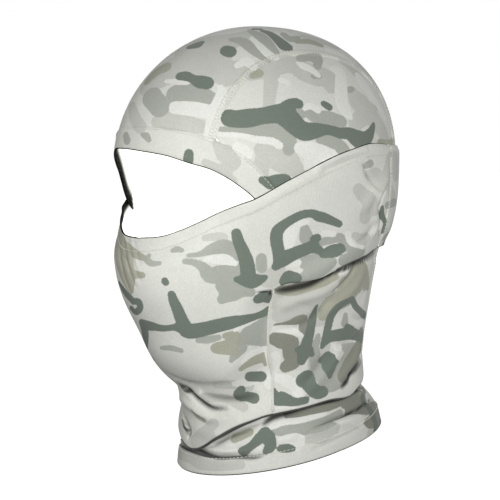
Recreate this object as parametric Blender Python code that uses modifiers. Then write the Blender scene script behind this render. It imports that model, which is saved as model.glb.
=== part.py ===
"""A knitted full-head balaclava, in the shape it takes on a head.

Every cut panel, hem and seam of the garment is its own closed solid. Metres, +Z up. The
wearer faces -Y and the wearer's left is +X. The origin is the middle of the head cavity,
level with the ears.

Two pieces of the garment move: the face mask pulls down below the chin, and the gathered
foot of the neck pulls down out of the fold above it. Both slide straight down.
"""
import bmesh
import bpy
from math import asin, cos, degrees, exp, hypot, radians, sin, sqrt

# ---- driving dimensions, in metres ----
HEAD_FRONT = 0.0985     # centre of the head to the forehead
HEAD_BACK = 0.100       # centre of the head to the back of it
HEAD_SIDE = 0.077       # half the width of the head
HEAD_TOP = 0.089        # ear level to the crown
BACK_FULLNESS = 2.35    # exponent of the back of the dome's outline: 2 is an ellipse
FABRIC = 0.0010         # one layer of knitted fabric
HEM_THICKNESS = 0.0014  # a turned hem, pressed flat
GAP = 0.0003            # between two pieces that touch
SEAM_HALF = 0.0024      # half the width of a flat seam with its zigzag thread
SEAM_RISE = 0.0004      # how far a seam or a row of stitches stands out from the panels
BACK_SEAM_WIDTH = 0.0026    # the narrow seams behind the head
HEM_RISE = 0.0001       # how far the mask's and the neck's hems stand out
BROW_HEM_RISE = 0.0002
BROW_STITCH_RISE = 0.0006
STITCH_WIDTH = 0.0016   # one row of cover stitch
STITCH_THICKNESS = 0.0012
BROW_HEM = 0.012        # depth of the hem over the eyes
MASK_HEM = 0.008        # depth of the hem along the top of the mask
NECK_HEM = 0.010        # depth of the hem at the foot of the neck
EYE_EDGE_LEAN = 0.004   # the mask's top edge leans in this far under the eyes
LEAN_DEPTH = 0.018      # and this far down from the edge
CHIN_OVERLAP = 0.018    # throat panel hidden behind the chin of the mask
SLEEVE_OVERLAP = 0.043  # neck foot hidden inside the neck above it
SLEEVE_WALL = 0.0030    # how far the hidden sleeve lies inside the neck
FOOT_EASE = 0.0005      # extra room in front of the foot
FOOT_FLARE = (0.0025, 0.0085, 0.0255)   # how much wider the bottom edge is: front, side, back
NECK_RADIUS = 0.060     # typical radii, which turn a width along a ring into an angle
HEAD_RADIUS = 0.090
NECK_SEAM_ANGLE = 52.0  # angles of the foot's seams, from the nose
CROWN_SEAM_ANGLE = 146.0
STRIP_HALF_BELOW = 0.045    # typical half width of the crown strip down the back

# Cross-sections of the worn hood and neck, from ear level down.
# Each: height, reach to the front, half width, reach to the back, centre's y.
HOOD_SECTIONS = (
    (0.000, HEAD_FRONT, HEAD_SIDE, HEAD_BACK, 0.000),
    (-0.020, 0.0980, 0.0755, 0.0985, 0.000),
    (-0.034, 0.0980, 0.0735, 0.0950, 0.001),
    (-0.050, 0.0970, 0.0705, 0.0870, 0.003),
    (-0.062, 0.0960, 0.0680, 0.0830, 0.004),
    (-0.075, 0.0930, 0.0650, 0.0800, 0.006),
    (-0.090, 0.0860, 0.0620, 0.0770, 0.009),
    (-0.106, 0.0740, 0.0595, 0.0735, 0.013),
    (-0.119, 0.0610, 0.0575, 0.0720, 0.016),
    (-0.131, 0.0495, 0.0560, 0.0710, 0.017),
    (-0.200, 0.0485, 0.0570, 0.0740, 0.017),
)
# The same for the mask, which stands off the hood all round.
MASK_SECTIONS = (
    (0.020, 0.1010, 0.0792, 0.1022, 0.000),
    (0.000, 0.1010, 0.0792, 0.1022, 0.000),
    (-0.020, 0.1015, 0.0785, 0.1012, 0.000),
    (-0.034, 0.1015, 0.0765, 0.0985, 0.001),
    (-0.050, 0.1015, 0.0735, 0.0930, 0.002),
    (-0.064, 0.1008, 0.0712, 0.0895, 0.004),
    (-0.074, 0.0990, 0.0692, 0.0870, 0.005),
    (-0.087, 0.0940, 0.0665, 0.0830, 0.008),
    (-0.106, 0.0830, 0.0630, 0.0790, 0.012),
    (-0.119, 0.0760, 0.0605, 0.0770, 0.014),
    (-0.129, 0.0680, 0.0590, 0.0760, 0.016),
    (-0.141, 0.0530, 0.0580, 0.0750, 0.017),
)

# Edges of the panels: angle round the head from the nose in degrees, height in metres.
# The hood sits slightly askew, so the edge over the eyes is not the same on both sides.
EYE_TOP = (
    (-62, -0.0340), (-56, -0.0265), (-52, -0.0195), (-49, -0.0120), (-45, -0.0038), (-37, 0.004),
    (-25, 0.0105), (-10, 0.0115), (5, 0.0101), (19, 0.0075), (30, 0.0030), (38, -0.0003),
    (44, -0.0046), (50, -0.0105), (56, -0.0180), (62, -0.0290),
)
BROW_LINE = ((0, 0.025), (15, 0.0245), (30, 0.0215), (40, 0.0165), (53, 0.006), (68, -0.018))
RIGHT_EYE_DIP = 0.0042      # the mask's edge sits this much lower beside the right eye
MASK_TOP = (
    (0, -0.0445), (15, -0.0430), (25, -0.0390), (34, -0.0335), (41, -0.0285), (50, -0.0232),
    (57, -0.0192), (70, -0.0078), (87, 0.005), (99, 0.011), (109, 0.014), (124, 0.013),
    (180, 0.011),
)
MASK_FOOT = (
    (0, -0.139), (15, -0.138), (30, -0.132), (42, -0.121), (52, -0.105), (58, -0.090),
    (63, -0.077), (68, -0.0725), (82, -0.069), (90, -0.064), (102, -0.0585), (112, -0.056),
    (124, -0.053), (180, -0.052),
)
# The vertical seam at the side of the throat: height, angle round the neck.
NECK_SEAM = ((-0.200, 52), (-0.130, 52), (-0.106, 58), (-0.090, 62), (-0.075, 65), (-0.050, 67))
# Half width of the strip that runs over the crown, by arc angle from the forehead over the
# crown to the back of the head, and then by height down the back.
STRIP_OVER = ((0, 0.0475), (90, 0.0460), (135, 0.0480), (160, 0.0530), (180, 0.0570))
STRIP_DOWN = ((-0.200, 0.033), (-0.125, 0.033), (-0.100, 0.037), (-0.075, 0.043),
              (-0.050, 0.050), (-0.020, 0.056), (0.000, 0.0570))
# Front edge of a side panel below the brow hem, hidden under the mask.
SIDE_FRONT = ((44.5, 0.0141), (53, 0.0070), (62, -0.0060), (69.5, -0.0190), (70, -0.035))
WING_END = 124.0        # angle where the mask's wings end at the back seams

# The sleeve's cross-section: the neck's narrowest one, moved in by the sleeve's wall.
SLEEVE_SECTION = tuple(
    (z, 0.0495 - SLEEVE_WALL - 0.001, 0.0560 - SLEEVE_WALL, 0.0710 - SLEEVE_WALL - 0.003, 0.017)
    for z in (-1.0, 1.0)
)

# Colours of the printed fabric, its hems and its sewing thread.
PALE = (0.62, 0.64, 0.60)
LIGHT = (0.70, 0.72, 0.69)
THREAD = (0.80, 0.81, 0.78)
ROUGHNESS = 0.9

COLLECTION = "balaclava"
COLUMNS_PER_SIDE_PANEL = 10
MASK_COLUMNS = 53


def fold_height(angle):
    """Height of the rolled fold where the neck laps over its gathered foot."""
    return -0.152 - 0.026 * cos(radians(angle))


def foot_height(angle):
    """Height of the bottom edge, lower in front than behind."""
    return -0.180 - 0.015 * cos(radians(angle))


def smooth(table, at, column=1):
    """Value of a table's column at a station, on a smooth curve through its rows."""
    rows = sorted(table)
    if at <= rows[0][0]:
        return rows[0][column]
    if at >= rows[-1][0]:
        return rows[-1][column]
    right = next(i for i, row in enumerate(rows) if row[0] > at)
    left = right - 1
    slopes = []
    for i in (left, right):
        low, high = max(i - 1, 0), min(i + 1, len(rows) - 1)
        slopes.append((rows[high][column] - rows[low][column]) / (rows[high][0] - rows[low][0]))
    span = rows[right][0] - rows[left][0]
    t = (at - rows[left][0]) / span
    a, b = rows[left][column], rows[right][column]
    return (
        (2 * t**3 - 3 * t**2 + 1) * a + (t**3 - 2 * t**2 + t) * span * slopes[0]
        + (3 * t**2 - 2 * t**3) * b + (t**3 - t**2) * span * slopes[1]
    )


def between(low, high, count):
    """Evenly spaced values from low to high, both included."""
    return [low + (high - low) * i / (count - 1) for i in range(count)]


# ---- the surfaces that the fabric lies on ----
def ring_point(sections, angle, height, out=0.0, grow=(0.0, 0.0, 0.0)):
    """A point of a cross-section, out metres outside it."""
    if height > 0 and sections is HOOD_SECTIONS:
        shrink = sqrt(max(0.0, 1 - (height / HEAD_TOP) ** 2))
        front, side, centre = HEAD_FRONT * shrink, HEAD_SIDE * shrink, 0.0
        back = HEAD_BACK * (1 - (height / HEAD_TOP) ** BACK_FULLNESS) ** (1 / BACK_FULLNESS)
    else:
        front, side, back, centre = [smooth(sections, height, i) for i in (1, 2, 3, 4)]
    front, side, back = front + grow[0], side + grow[1], back + grow[2]
    turn = radians(angle)
    reach = front + centre if cos(turn) > 0 else back - centre
    normal = (sin(turn) * reach, -cos(turn) * side)
    length = hypot(*normal)
    x = side * sin(turn) + out * normal[0] / length
    y = centre - reach * cos(turn) + out * normal[1] / length
    return (x, y, height)


def dome_point(x, arc, out=0.0):
    """A point of the dome over the head: x across, arc in degrees from the forehead up."""
    depth, power = (HEAD_BACK, BACK_FULLNESS) if arc > 90 else (HEAD_FRONT, 2.0)
    along, up = -cos(radians(arc)), sin(radians(arc))
    spread = sqrt(1 - (x / HEAD_SIDE) ** 2) / (abs(along) ** power + abs(up) ** power) ** (1 / power)
    y, z = depth * spread * along, HEAD_TOP * spread * up
    normal = (x / HEAD_SIDE**2, y / depth**2, z / HEAD_TOP**2)
    length = hypot(*normal)
    return tuple(p + out * n / length for p, n in zip((x, y, z), normal))


def strip_point(across, run, out=0.0):
    """A point of the crown strip. Run 0 to 1 goes over the dome and 1 to 2 down the back."""
    if run <= 1:
        half = smooth(STRIP_OVER, 180 * run)
        x = across * half
        sideways = degrees(asin(min(1.0, abs(x) / HEAD_SIDE)))
        brow = smooth(BROW_LINE, sideways)
        spread = sqrt(1 - (x / HEAD_SIDE) ** 2)
        start = degrees(asin(brow / (HEAD_TOP * spread)))
        return dome_point(x, start + (180 - start) * run, out)
    return back_point(across, (run - 1) * fold_height(150), out)


def back_point(across, height, out=0.0):
    x = across * smooth(STRIP_DOWN, height)
    side = smooth(HOOD_SECTIONS, height, 2)
    angle = 180 - degrees(asin(x / side))
    return ring_point(HOOD_SECTIONS, angle, height, out)


def side_point(y, z):
    """The point of the hood's surface at the wearer's left with the given y and z."""
    if z >= 0:
        depth, power = (HEAD_FRONT, 2.0) if y < 0 else (HEAD_BACK, BACK_FULLNESS)
        square = 1 - (abs(y / depth) ** power + (z / HEAD_TOP) ** power) ** (2 / power)
        return (HEAD_SIDE * sqrt(max(square, 0.0)), y, z)
    front, side, back, centre = [smooth(HOOD_SECTIONS, z, i) for i in (1, 2, 3, 4)]
    reach = front + centre if y < centre else back - centre
    return (side * sqrt(max(0.0, 1 - ((y - centre) / reach) ** 2)), y, z)


# ---- turning grids of points into closed panels ----
def fabric_material(name, colour):
    material = bpy.data.materials.new(name)
    material.use_nodes = True
    shader = material.node_tree.nodes["Principled BSDF"]
    shader.inputs["Base Color"].default_value = (*colour, 1.0)
    shader.inputs["Roughness"].default_value = ROUGHNESS
    shader.inputs["Metallic"].default_value = 0.0
    material.diffuse_color = (*colour, 1.0)
    return material


def panel(name, rows, thickness, colour, ring=False):
    """A sheet through a grid of points, thickened inward into one closed body."""
    mesh = bpy.data.meshes.new(name)
    grid = bmesh.new()
    points = [[grid.verts.new(point) for point in row] for row in rows]
    for upper, lower in zip(points, points[1:]):
        pairs = list(zip(upper, upper[1:], lower[1:], lower))
        if ring:
            pairs.append((upper[-1], upper[0], lower[0], lower[-1]))
        for quad in pairs:
            grid.faces.new(quad)
    grid.to_mesh(mesh)
    grid.free()
    face_outward(mesh)
    mesh.shade_smooth()
    sheet = bpy.data.objects.new(name, mesh)
    bpy.data.collections[COLLECTION].objects.link(sheet)
    sheet.data.materials.append(fabric_material(name, colour))
    wall = sheet.modifiers.new("fabric", "SOLIDIFY")
    wall.thickness = thickness
    wall.offset = -1.0


def face_outward(mesh):
    """Flip a sheet whose faces look towards the inside of the head."""
    outward = 0.0
    for face in mesh.polygons:
        centre, normal = face.center, face.normal
        middle = (0.0, 0.010, min(max(centre.z, -0.2), 0.03))
        outward += sum((centre[i] - middle[i]) * normal[i] for i in range(3)) * face.area
    if outward < 0:
        mesh.flip_normals()


def mirrored(rows):
    return [[(-x, y, z) for x, y, z in row] for row in rows]


def both_sides(name, rows, thickness, colour):
    """The wearer's left piece and its mirror image."""
    panel(name + "_left", rows, thickness, colour)
    panel(name + "_right", mirrored(rows), thickness, colour)


def arc_length(points, fraction):
    """The point a fraction of the way along a line of points."""
    lengths = [0.0]
    for a, b in zip(points, points[1:]):
        lengths.append(lengths[-1] + sqrt(sum((p - q) ** 2 for p, q in zip(a, b))))
    target = fraction * lengths[-1]
    i = next((i for i in range(1, len(lengths)) if lengths[i] >= target), len(points) - 1)
    share = (target - lengths[i - 1]) / max(lengths[i] - lengths[i - 1], 1e-9)
    return tuple(p + (q - p) * share for p, q in zip(points[i - 1], points[i]))


# ---- the hood ----
def strip_runs():
    """Stations down the crown strip. The side panels start at the second one."""
    over = between(0.0, 1.0, 21)
    return [over[0], 0.4 * over[1]] + over[1:] + between(1.0, 2.0, 15)[1:]


def strip_half(run):
    return smooth(STRIP_OVER, 180 * run) if run <= 1 else STRIP_HALF_BELOW


def crown_panel():
    rows = []
    for run in strip_runs():
        edge = 1 - (SEAM_HALF + GAP) / strip_half(run)
        rows.append([strip_point(across, run) for across in between(-edge, edge, 9)])
    panel("crown_panel", rows, FABRIC, PALE)


def crown_seams():
    rows = []
    for run in strip_runs():
        span = SEAM_HALF / strip_half(run)
        rows.append([strip_point(1 + part * span, run, SEAM_RISE) for part in (-1, 0, 1)])
    both_sides("crown_seam", rows, HEM_THICKNESS, THREAD)


def side_panels():
    """From the brow hem and the throat seam at the front to the crown seam at the back."""
    rear = [strip_point(1 + (SEAM_HALF + GAP) / strip_half(run), run) for run in strip_runs()[1:]]
    front = [ring_point(HOOD_SECTIONS, angle, z) for angle, z in SIDE_FRONT]
    for z in between(-0.050, fold_height(NECK_SEAM_ANGLE), 14):
        turn = smooth(NECK_SEAM, z) + degrees((SEAM_HALF + 2 * GAP) / NECK_RADIUS)
        front.append(ring_point(HOOD_SECTIONS, turn, z))
    rows = []
    for i, end in enumerate(rear):
        t = i / (len(rear) - 1)
        start = arc_length(front, t)
        row = []
        for s in between(0.0, 1.0, COLUMNS_PER_SIDE_PANEL):
            y = start[1] + (end[1] - start[1]) * s
            z = start[2] + (end[2] - start[2]) * s
            sag = 4 * s * (1 - s) * t**8
            z = z + sag * 0.25 * (fold_height(105) - (start[2] + end[2]) / 2)
            row.append(side_point(y, z))
        row[0], row[-1] = start, end
        rows.append(row)
    both_sides("side_panel", rows, FABRIC, PALE)


def brow_hem():
    """The turned hem over the eyes, with its ends tucked under the mask's wings."""
    steps = between(-1.0, 1.0, 41)
    lower = [(t * EYE_TOP[-1][0], smooth(EYE_TOP, t * EYE_TOP[-1][0])) for t in steps]
    upper = [(t * BROW_LINE[-1][0], smooth(BROW_LINE, abs(t) * BROW_LINE[-1][0])) for t in steps]
    inset = (STITCH_WIDTH + 2 * GAP) / BROW_HEM
    rows = [
        [ring_point(HOOD_SECTIONS, *mix(low, high, s), BROW_HEM_RISE) for low, high in zip(lower, upper)]
        for s in between(0.0, 1.0 - inset, 4)
    ]
    panel("brow_hem", rows, HEM_THICKNESS, LIGHT)
    rows = [
        [ring_point(HOOD_SECTIONS, *mix(low, high, s), BROW_STITCH_RISE) for low, high in zip(lower, upper)]
        for s in (1.0 - inset + GAP / BROW_HEM, 1.0 - GAP / BROW_HEM)
    ]
    panel("brow_hem_stitch", rows, STITCH_THICKNESS, THREAD)


def mix(a, b, s):
    return tuple(p + (q - p) * s for p, q in zip(a, b))


# ---- the mask ----
def turn_of(angle):
    """Angle from the nose in degrees, 0 to 180, on either side."""
    return abs(angle) if abs(angle) <= 180 else 360 - abs(angle)


def mask_top(angle):
    return smooth(MASK_TOP, turn_of(angle)) - RIGHT_EYE_DIP * exp(-(((angle + 53) / 10) ** 2))


def mask_foot(angle):
    return smooth(MASK_FOOT, turn_of(angle))


def mask_rows(low_angle, high_angle, columns, top, foot, rows, out=0.0):
    """A grid on the mask's surface between two edges, given as heights over the angle."""
    angles = between(low_angle, high_angle, columns)
    grid = []
    for s in between(0.0, 1.0, rows):
        row = []
        for angle in angles:
            z = top(angle) + (foot(angle) - top(angle)) * s
            lean = eye_edge_lean(turn_of(angle), mask_top(angle) - z)
            row.append(ring_point(MASK_SECTIONS, angle, z, out - lean))
        grid.append(row)
    return grid


def eye_edge_lean(turn, below):
    """How far the mask leans in towards the cheeks, just below its edge under the eyes."""
    beside = 1 - smooth(((36, 0.0), (54, 1.0)), turn)
    near = 1 - smooth(((0.0, 0.0), (LEAN_DEPTH, 1.0)), below)
    return EYE_EDGE_LEAN * beside * near


def mask():
    """Nose, mouth and chin in one piece with two wings that reach the back seams."""
    def hem_foot(angle):
        return mask_top(angle) - MASK_HEM

    def stitch_top(angle):
        return hem_foot(angle) - GAP

    def stitch_foot(angle):
        return stitch_top(angle) - STITCH_WIDTH

    def panel_top(angle):
        return stitch_foot(angle) - GAP

    rows = mask_rows(-WING_END, WING_END, MASK_COLUMNS, panel_top, mask_foot, 11)
    panel("mask_panel", rows, FABRIC, PALE)
    rows = mask_rows(-WING_END, WING_END, MASK_COLUMNS, mask_top, hem_foot, 3, HEM_RISE)
    panel("mask_hem", rows, HEM_THICKNESS, LIGHT)
    rows = mask_rows(-WING_END, WING_END, MASK_COLUMNS, stitch_top, stitch_foot, 2, SEAM_RISE)
    panel("mask_hem_stitch", rows, STITCH_THICKNESS, THREAD)


def back_band():
    """The band between the two back seams, sewn to the hood, that the wings are sewn to."""
    seam = degrees(BACK_SEAM_WIDTH / HEAD_RADIUS)
    space = degrees(2 * GAP / HEAD_RADIUS)
    start = WING_END + seam + 2 * space
    rows = mask_rows(start, 360 - start, 15, mask_top, mask_foot, 9)
    panel("back_band", rows, FABRIC, PALE)
    rows = mask_rows(WING_END + space, WING_END + space + seam, 2, mask_top, mask_foot, 9, SEAM_RISE)
    both_sides("back_band_seam", rows, HEM_THICKNESS, THREAD)


# ---- the neck ----
def neck_front():
    """The throat panel, whose top is hidden behind the chin of the mask."""
    inset = degrees((SEAM_HALF + 2 * GAP) / NECK_RADIUS)
    rows = []
    for s in between(0.0, 1.0, 13):
        row = []
        for across in between(-1.0, 1.0, 15):
            rough = abs(across) * 60
            top = smooth(MASK_FOOT, rough) + CHIN_OVERLAP
            z = top + (fold_height(rough) - top) * s
            edge = smooth(NECK_SEAM, z) - inset
            row.append(ring_point(HOOD_SECTIONS, across * edge, z))
        rows.append(row)
    panel("neck_front", rows, FABRIC, PALE)


def neck_seams():
    reach = degrees((SEAM_HALF - GAP) / NECK_RADIUS)
    rows = []
    for z in between(-0.058, fold_height(NECK_SEAM_ANGLE), 14):
        middle = smooth(NECK_SEAM, z)
        angles = (middle - reach, middle, middle + reach)
        rows.append([ring_point(HOOD_SECTIONS, angle, z, SEAM_RISE) for angle in angles])
    both_sides("neck_seam", rows, HEM_THICKNESS, THREAD)


def foot_point(angle, share, out=0.0):
    """A point of the gathered foot. Share 0 to 1 runs from the fold to the bottom edge, and
    below 0 the foot is a straight sleeve inside the neck."""
    fold, low = fold_height(angle), foot_height(angle)
    z = fold + (low - fold) * share if share > 0 else fold - SLEEVE_OVERLAP * share
    flare = smooth(((0.0, 0.0), (0.25, 0.0), (0.7, 0.8), (1.0, 1.0)), max(share, 0.0))
    front, side, back = [amount * flare for amount in FOOT_FLARE]
    grow = (FOOT_EASE + front, side, back)
    x, y, _ = ring_point(SLEEVE_SECTION, angle, 0.0, out, grow)
    return (x, y, z)


def neck_foot():
    """Four gathered panels below the fold, with the hem and its stitch round the bottom."""
    spread = degrees(GAP / NECK_RADIUS)
    seam, back = NECK_SEAM_ANGLE, CROWN_SEAM_ANGLE
    spans = {
        "neck_foot_front": (-seam + spread, seam - spread),
        "neck_foot_side_left": (seam + spread, back - spread),
        "neck_foot_side_right": (-back + spread, -seam - spread),
        "neck_foot_back": (back + spread, 360 - back - spread),
    }
    for name, (low, high) in spans.items():
        columns = 3 + round((high - low) / 9)
        rows = []
        for share in (-1.0, -0.5, 0.0, 0.2, 0.4, 0.6, 0.8, 1.0):
            row = []
            for angle in between(low, high, columns):
                depth = fold_height(angle) - foot_height(angle)
                lowest = 1 - (NECK_HEM + STITCH_WIDTH + 5 * GAP) / depth
                row.append(foot_point(angle, share * lowest if share > 0 else share))
            rows.append(row)
        panel(name, rows, FABRIC, PALE)
    ring = between(0.0, 360.0, 49)[:-1]
    stitch_low = NECK_HEM + 2.5 * GAP
    stitch = hem_rows(ring, stitch_low, stitch_low + STITCH_WIDTH, HEM_RISE, 2)
    panel("neck_hem_stitch", stitch, STITCH_THICKNESS, THREAD, ring=True)
    panel("neck_hem", hem_rows(ring, 0.0, NECK_HEM, HEM_RISE, 3), HEM_THICKNESS, LIGHT, ring=True)


def hem_rows(angles, low, high, out, count):
    """Rings round the foot, each a distance above the bottom edge."""
    rows = []
    for above in between(high, low, count):
        row = []
        for angle in angles:
            depth = fold_height(angle) - foot_height(angle)
            row.append(foot_point(angle, 1 - above / depth, out))
        rows.append(row)
    return rows


def main():
    for old in list(bpy.data.objects):
        bpy.data.objects.remove(old, do_unlink=True)
    home = bpy.data.collections.new(COLLECTION)
    bpy.context.scene.collection.children.link(home)
    crown_panel()
    crown_seams()
    side_panels()
    brow_hem()
    mask()
    back_band()
    neck_front()
    neck_seams()
    neck_foot()


main()
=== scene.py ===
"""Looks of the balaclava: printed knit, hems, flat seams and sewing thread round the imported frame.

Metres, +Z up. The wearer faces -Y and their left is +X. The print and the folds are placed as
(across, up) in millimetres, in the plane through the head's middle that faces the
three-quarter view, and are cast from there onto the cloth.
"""
from math import cos, radians, sin

import bpy
import numpy as np
from mathutils import Matrix, Vector
from mathutils.bvhtree import BVHTree


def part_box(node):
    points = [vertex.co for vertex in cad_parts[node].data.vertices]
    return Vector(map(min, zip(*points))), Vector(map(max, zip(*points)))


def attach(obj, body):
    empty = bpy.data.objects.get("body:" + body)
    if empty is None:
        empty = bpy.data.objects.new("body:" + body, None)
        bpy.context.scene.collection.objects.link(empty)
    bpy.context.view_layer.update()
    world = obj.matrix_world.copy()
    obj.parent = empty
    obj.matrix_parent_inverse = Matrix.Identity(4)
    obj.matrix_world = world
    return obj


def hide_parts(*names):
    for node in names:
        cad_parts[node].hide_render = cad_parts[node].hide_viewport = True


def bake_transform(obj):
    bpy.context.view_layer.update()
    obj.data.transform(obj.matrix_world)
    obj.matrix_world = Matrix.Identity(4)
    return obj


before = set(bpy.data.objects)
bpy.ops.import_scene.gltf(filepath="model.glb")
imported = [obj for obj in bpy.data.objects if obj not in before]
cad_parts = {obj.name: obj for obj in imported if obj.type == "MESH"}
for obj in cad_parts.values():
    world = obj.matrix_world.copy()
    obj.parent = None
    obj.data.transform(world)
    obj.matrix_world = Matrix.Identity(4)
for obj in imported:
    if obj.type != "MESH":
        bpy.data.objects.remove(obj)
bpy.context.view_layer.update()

MM = 0.001

# ---- the camera's view ----
VIEW_TURN = radians(50)
VIEW_TILT = radians(3)
VIEW_DISTANCE = 1.6
VIEW_WIDTH = 0.3225
VIEW_CENTRE_UP = -0.0548
VIEW_CENTRE_ACROSS = -0.0039

ACROSS = np.array([cos(VIEW_TURN), sin(VIEW_TURN), 0.0])
TOWARDS = np.array([sin(VIEW_TURN) * cos(VIEW_TILT), -cos(VIEW_TURN) * cos(VIEW_TILT), sin(VIEW_TILT)])
UP = np.cross(TOWARDS, ACROSS)
MIDDLE = np.array([0.0, 0.0, VIEW_CENTRE_UP])
EYE = MIDDLE + ACROSS * VIEW_CENTRE_ACROSS + TOWARDS * VIEW_DISTANCE

# ---- driving dimensions ----
HEAD_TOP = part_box("crown_panel")[1].z
HEAD_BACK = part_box("crown_panel")[1].y
HEAD_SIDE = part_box("side_panel_left")[1].x
HEAD_FRONT = 0.0985
BACK_FULLNESS = 2.35
CLOTH = 0.0009          # thickness of one layer of knit
HEM_OVERLAP = 0.0015    # how far a cloth runs on under the hem beside it
HEM_RISE = 0.0005       # how far a turned hem stands above the cloth beside it
MASK_HEM = 0.008
NECK_HEM = 0.010
SEAM_HALF = 0.0026      # half the width of a flat seam over the crown
BAND_SEAM_HALF = 0.0012
NECK_SEAM_HALF = 0.0009
EYE_EDGE_LEAN = 0.0060  # how far the mask's edge sinks in under the eyes
EDGE_HUG = 0.0014       # how far the wings' upper edge leans onto the hood
WING_END = 124.0        # angle of the back seams, where the mask's wings end
BACK_GAP = 0.6          # degrees between a wing's end and the back band, under the seam tape
SEAM_CORNER = (64.9, -0.0755)   # where a wing's lower edge meets the throat seam
SEAM_UNDERLAP = 2.4     # degrees that the side panel runs on under the throat's edge
SEAM_SHIFT = 0.1        # degrees that the throat seam's tape lies behind the throat's edge
SEAM_SINK = 0.0012      # how far the side panel's front edge sinks in under the throat's edge
SEAM_SINK_REACH = 0.004
SEAM_GAP = 0.0004       # half the gap between two cloths under their seam tape
SEAM_RISE = 0.0004      # how far a seam tape stands above the cloths that it joins
NECK_SEAM_TOP = -0.062
BACK_SEAM_ENDS = (0.012, -0.052)
BAND_LIFT = 0.0020      # how far the band's lower edge stands out at the sides
BAND_TUCK = 0.0018      # and how far it tucks in behind the head
TAPE = 0.0008           # thickness of a seam tape
HEM = 0.0014            # thickness of a turned hem
THREAD_RADIUS = 0.0002
SEAM_THREAD_RADIUS = 0.00023
EDGE_LINE = 0.0012      # width of the painted shade line inside a hem's free edge
BROW_SHADE = 0.012      # width of the painted shade strip inside the brow hem at the wearer's right
MASK_SHADE = 0.008      # and inside the mask's hem
RIGHT_EYE_END = -51.5   # angle of the right eye's corner, where the brow's painted shade strip starts
WING_SHADE = 0.004      # width of the painted shade inside the band's lower edge, before it fades out
CREASE_DARK = -3.6      # painted crease shade, in millimetres of depth, from which cloth is painted at its darkest
ROLL_SHADE = -4.0       # painted crease shade in the part of a rolled edge that turns under
PLAIN_RIM = -1.0        # edge value where a rim shows the plain inside instead of the print
STRIP_FOOT = -0.1295    # height at which the crown strip ends behind the neck
SLEEVE_OVERLAP = 0.040  # foot of the neck hidden above the fold
SLEEVE_INSET = 0.0030   # how much narrower the hidden part is
FOOT_TUCK = 0.004       # how far above the fold the foot starts to widen
NECK_HEM_RISE = 0.0004  # how far the neck hem stands above the foot
FOOT_BOTTOM = -0.180    # height of the foot's bottom edge at the sides
FOOT_SLANT = 0.015      # how much lower it is in front
STEP = 0.0015           # distance between two points of a cloth

# Cross-sections, from ear level down: height, reach to the front, half width, reach to the
# back, centre's y.
HOOD_SECTIONS = (
    (0.000, HEAD_FRONT, HEAD_SIDE, HEAD_BACK, 0.000),
    (-0.020, 0.0980, 0.0755, 0.0985, 0.000),
    (-0.034, 0.0980, 0.0735, 0.0950, 0.001),
    (-0.050, 0.0970, 0.0705, 0.0870, 0.003),
    (-0.062, 0.0960, 0.0680, 0.0830, 0.004),
    (-0.075, 0.0930, 0.0650, 0.0800, 0.006),
    (-0.090, 0.0860, 0.0620, 0.0770, 0.009),
    (-0.106, 0.0740, 0.0595, 0.0735, 0.013),
    (-0.119, 0.0610, 0.0575, 0.0720, 0.016),
    (-0.131, 0.0495, 0.0560, 0.0710, 0.017),
    (-0.200, 0.0485, 0.0570, 0.0740, 0.017),
)
MASK_SECTIONS = (
    (0.020, 0.1010, 0.0792, 0.1022, 0.000),
    (0.000, 0.1010, 0.0792, 0.1022, 0.000),
    (-0.020, 0.1015, 0.0785, 0.1012, 0.000),
    (-0.034, 0.1015, 0.0765, 0.0985, 0.001),
    (-0.050, 0.1015, 0.0735, 0.0930, 0.002),
    (-0.064, 0.1008, 0.0712, 0.0895, 0.004),
    (-0.074, 0.0990, 0.0692, 0.0870, 0.005),
    (-0.087, 0.0940, 0.0665, 0.0830, 0.008),
    (-0.106, 0.0830, 0.0630, 0.0790, 0.012),
    (-0.119, 0.0760, 0.0605, 0.0770, 0.014),
    (-0.129, 0.0680, 0.0590, 0.0760, 0.016),
    (-0.141, 0.0530, 0.0580, 0.0750, 0.017),
)
# The foot under the fold, and how much further out its bottom edge is, by share of its height.
FOOT_SECTION = (0.0455, 0.0530, 0.0650, 0.017)
FOOT_FLARE = (0.0030, 0.0085, 0.0255)
FLARE_SHARE = ((0.0, 0.0), (0.25, 0.05), (0.7, 0.8), (1.0, 1.0))

# Edges of the cloths: angle round the head from the nose in degrees, height. The edge over the
# eyes has angles to both sides, as the hood sits askew: it is lower over the wearer's left eye
# and drops more steeply at the corner of the right one. The other edges are the same both sides.
EYE_TOP = (
    (-62, -0.0340), (-56, -0.0265), (-52, -0.0195), (-49, -0.0120), (-45, -0.0038),
    (-37, 0.0040), (-25, 0.0105), (-10, 0.0115), (5, 0.0101), (19, 0.0075), (30, 0.0030),
    (38, -0.0003), (44, -0.0046), (50, -0.0105), (56, -0.0180), (62, -0.0290),
)
BROW_LINE = ((0, 0.025), (15, 0.0245), (30, 0.0215), (40, 0.0165), (53, 0.006), (68, -0.018))
MASK_TOP = (
    (0, -0.0445), (15, -0.0430), (25, -0.0390), (34, -0.0335), (41, -0.0285), (50, -0.0232),
    (57, -0.0192), (70, -0.0078), (87, 0.005), (99, 0.011), (109, 0.014), (124, 0.013),
    (180, 0.011),
)
RIGHT_EYE_DIP = 0.0042  # how much lower the mask's edge is at the corner of the right eye
RIGHT_EYE_DIP_AT = -53.0
RIGHT_EYE_DIP_SPREAD = 10.0
MASK_FOOT = (
    (0, -0.139), (15, -0.138), (30, -0.132), (42, -0.121), (52, -0.105), (58, -0.090),
    (63, -0.077), (68, -0.0725), (82, -0.069), (90, -0.064), (102, -0.0585), (112, -0.056),
    (124, -0.053), (180, -0.052),
)
SIDE_FRONT = ((43.5, 0.0120), (52, 0.0045), (61, -0.0085), (68, -0.0215), (67, -0.035))
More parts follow.
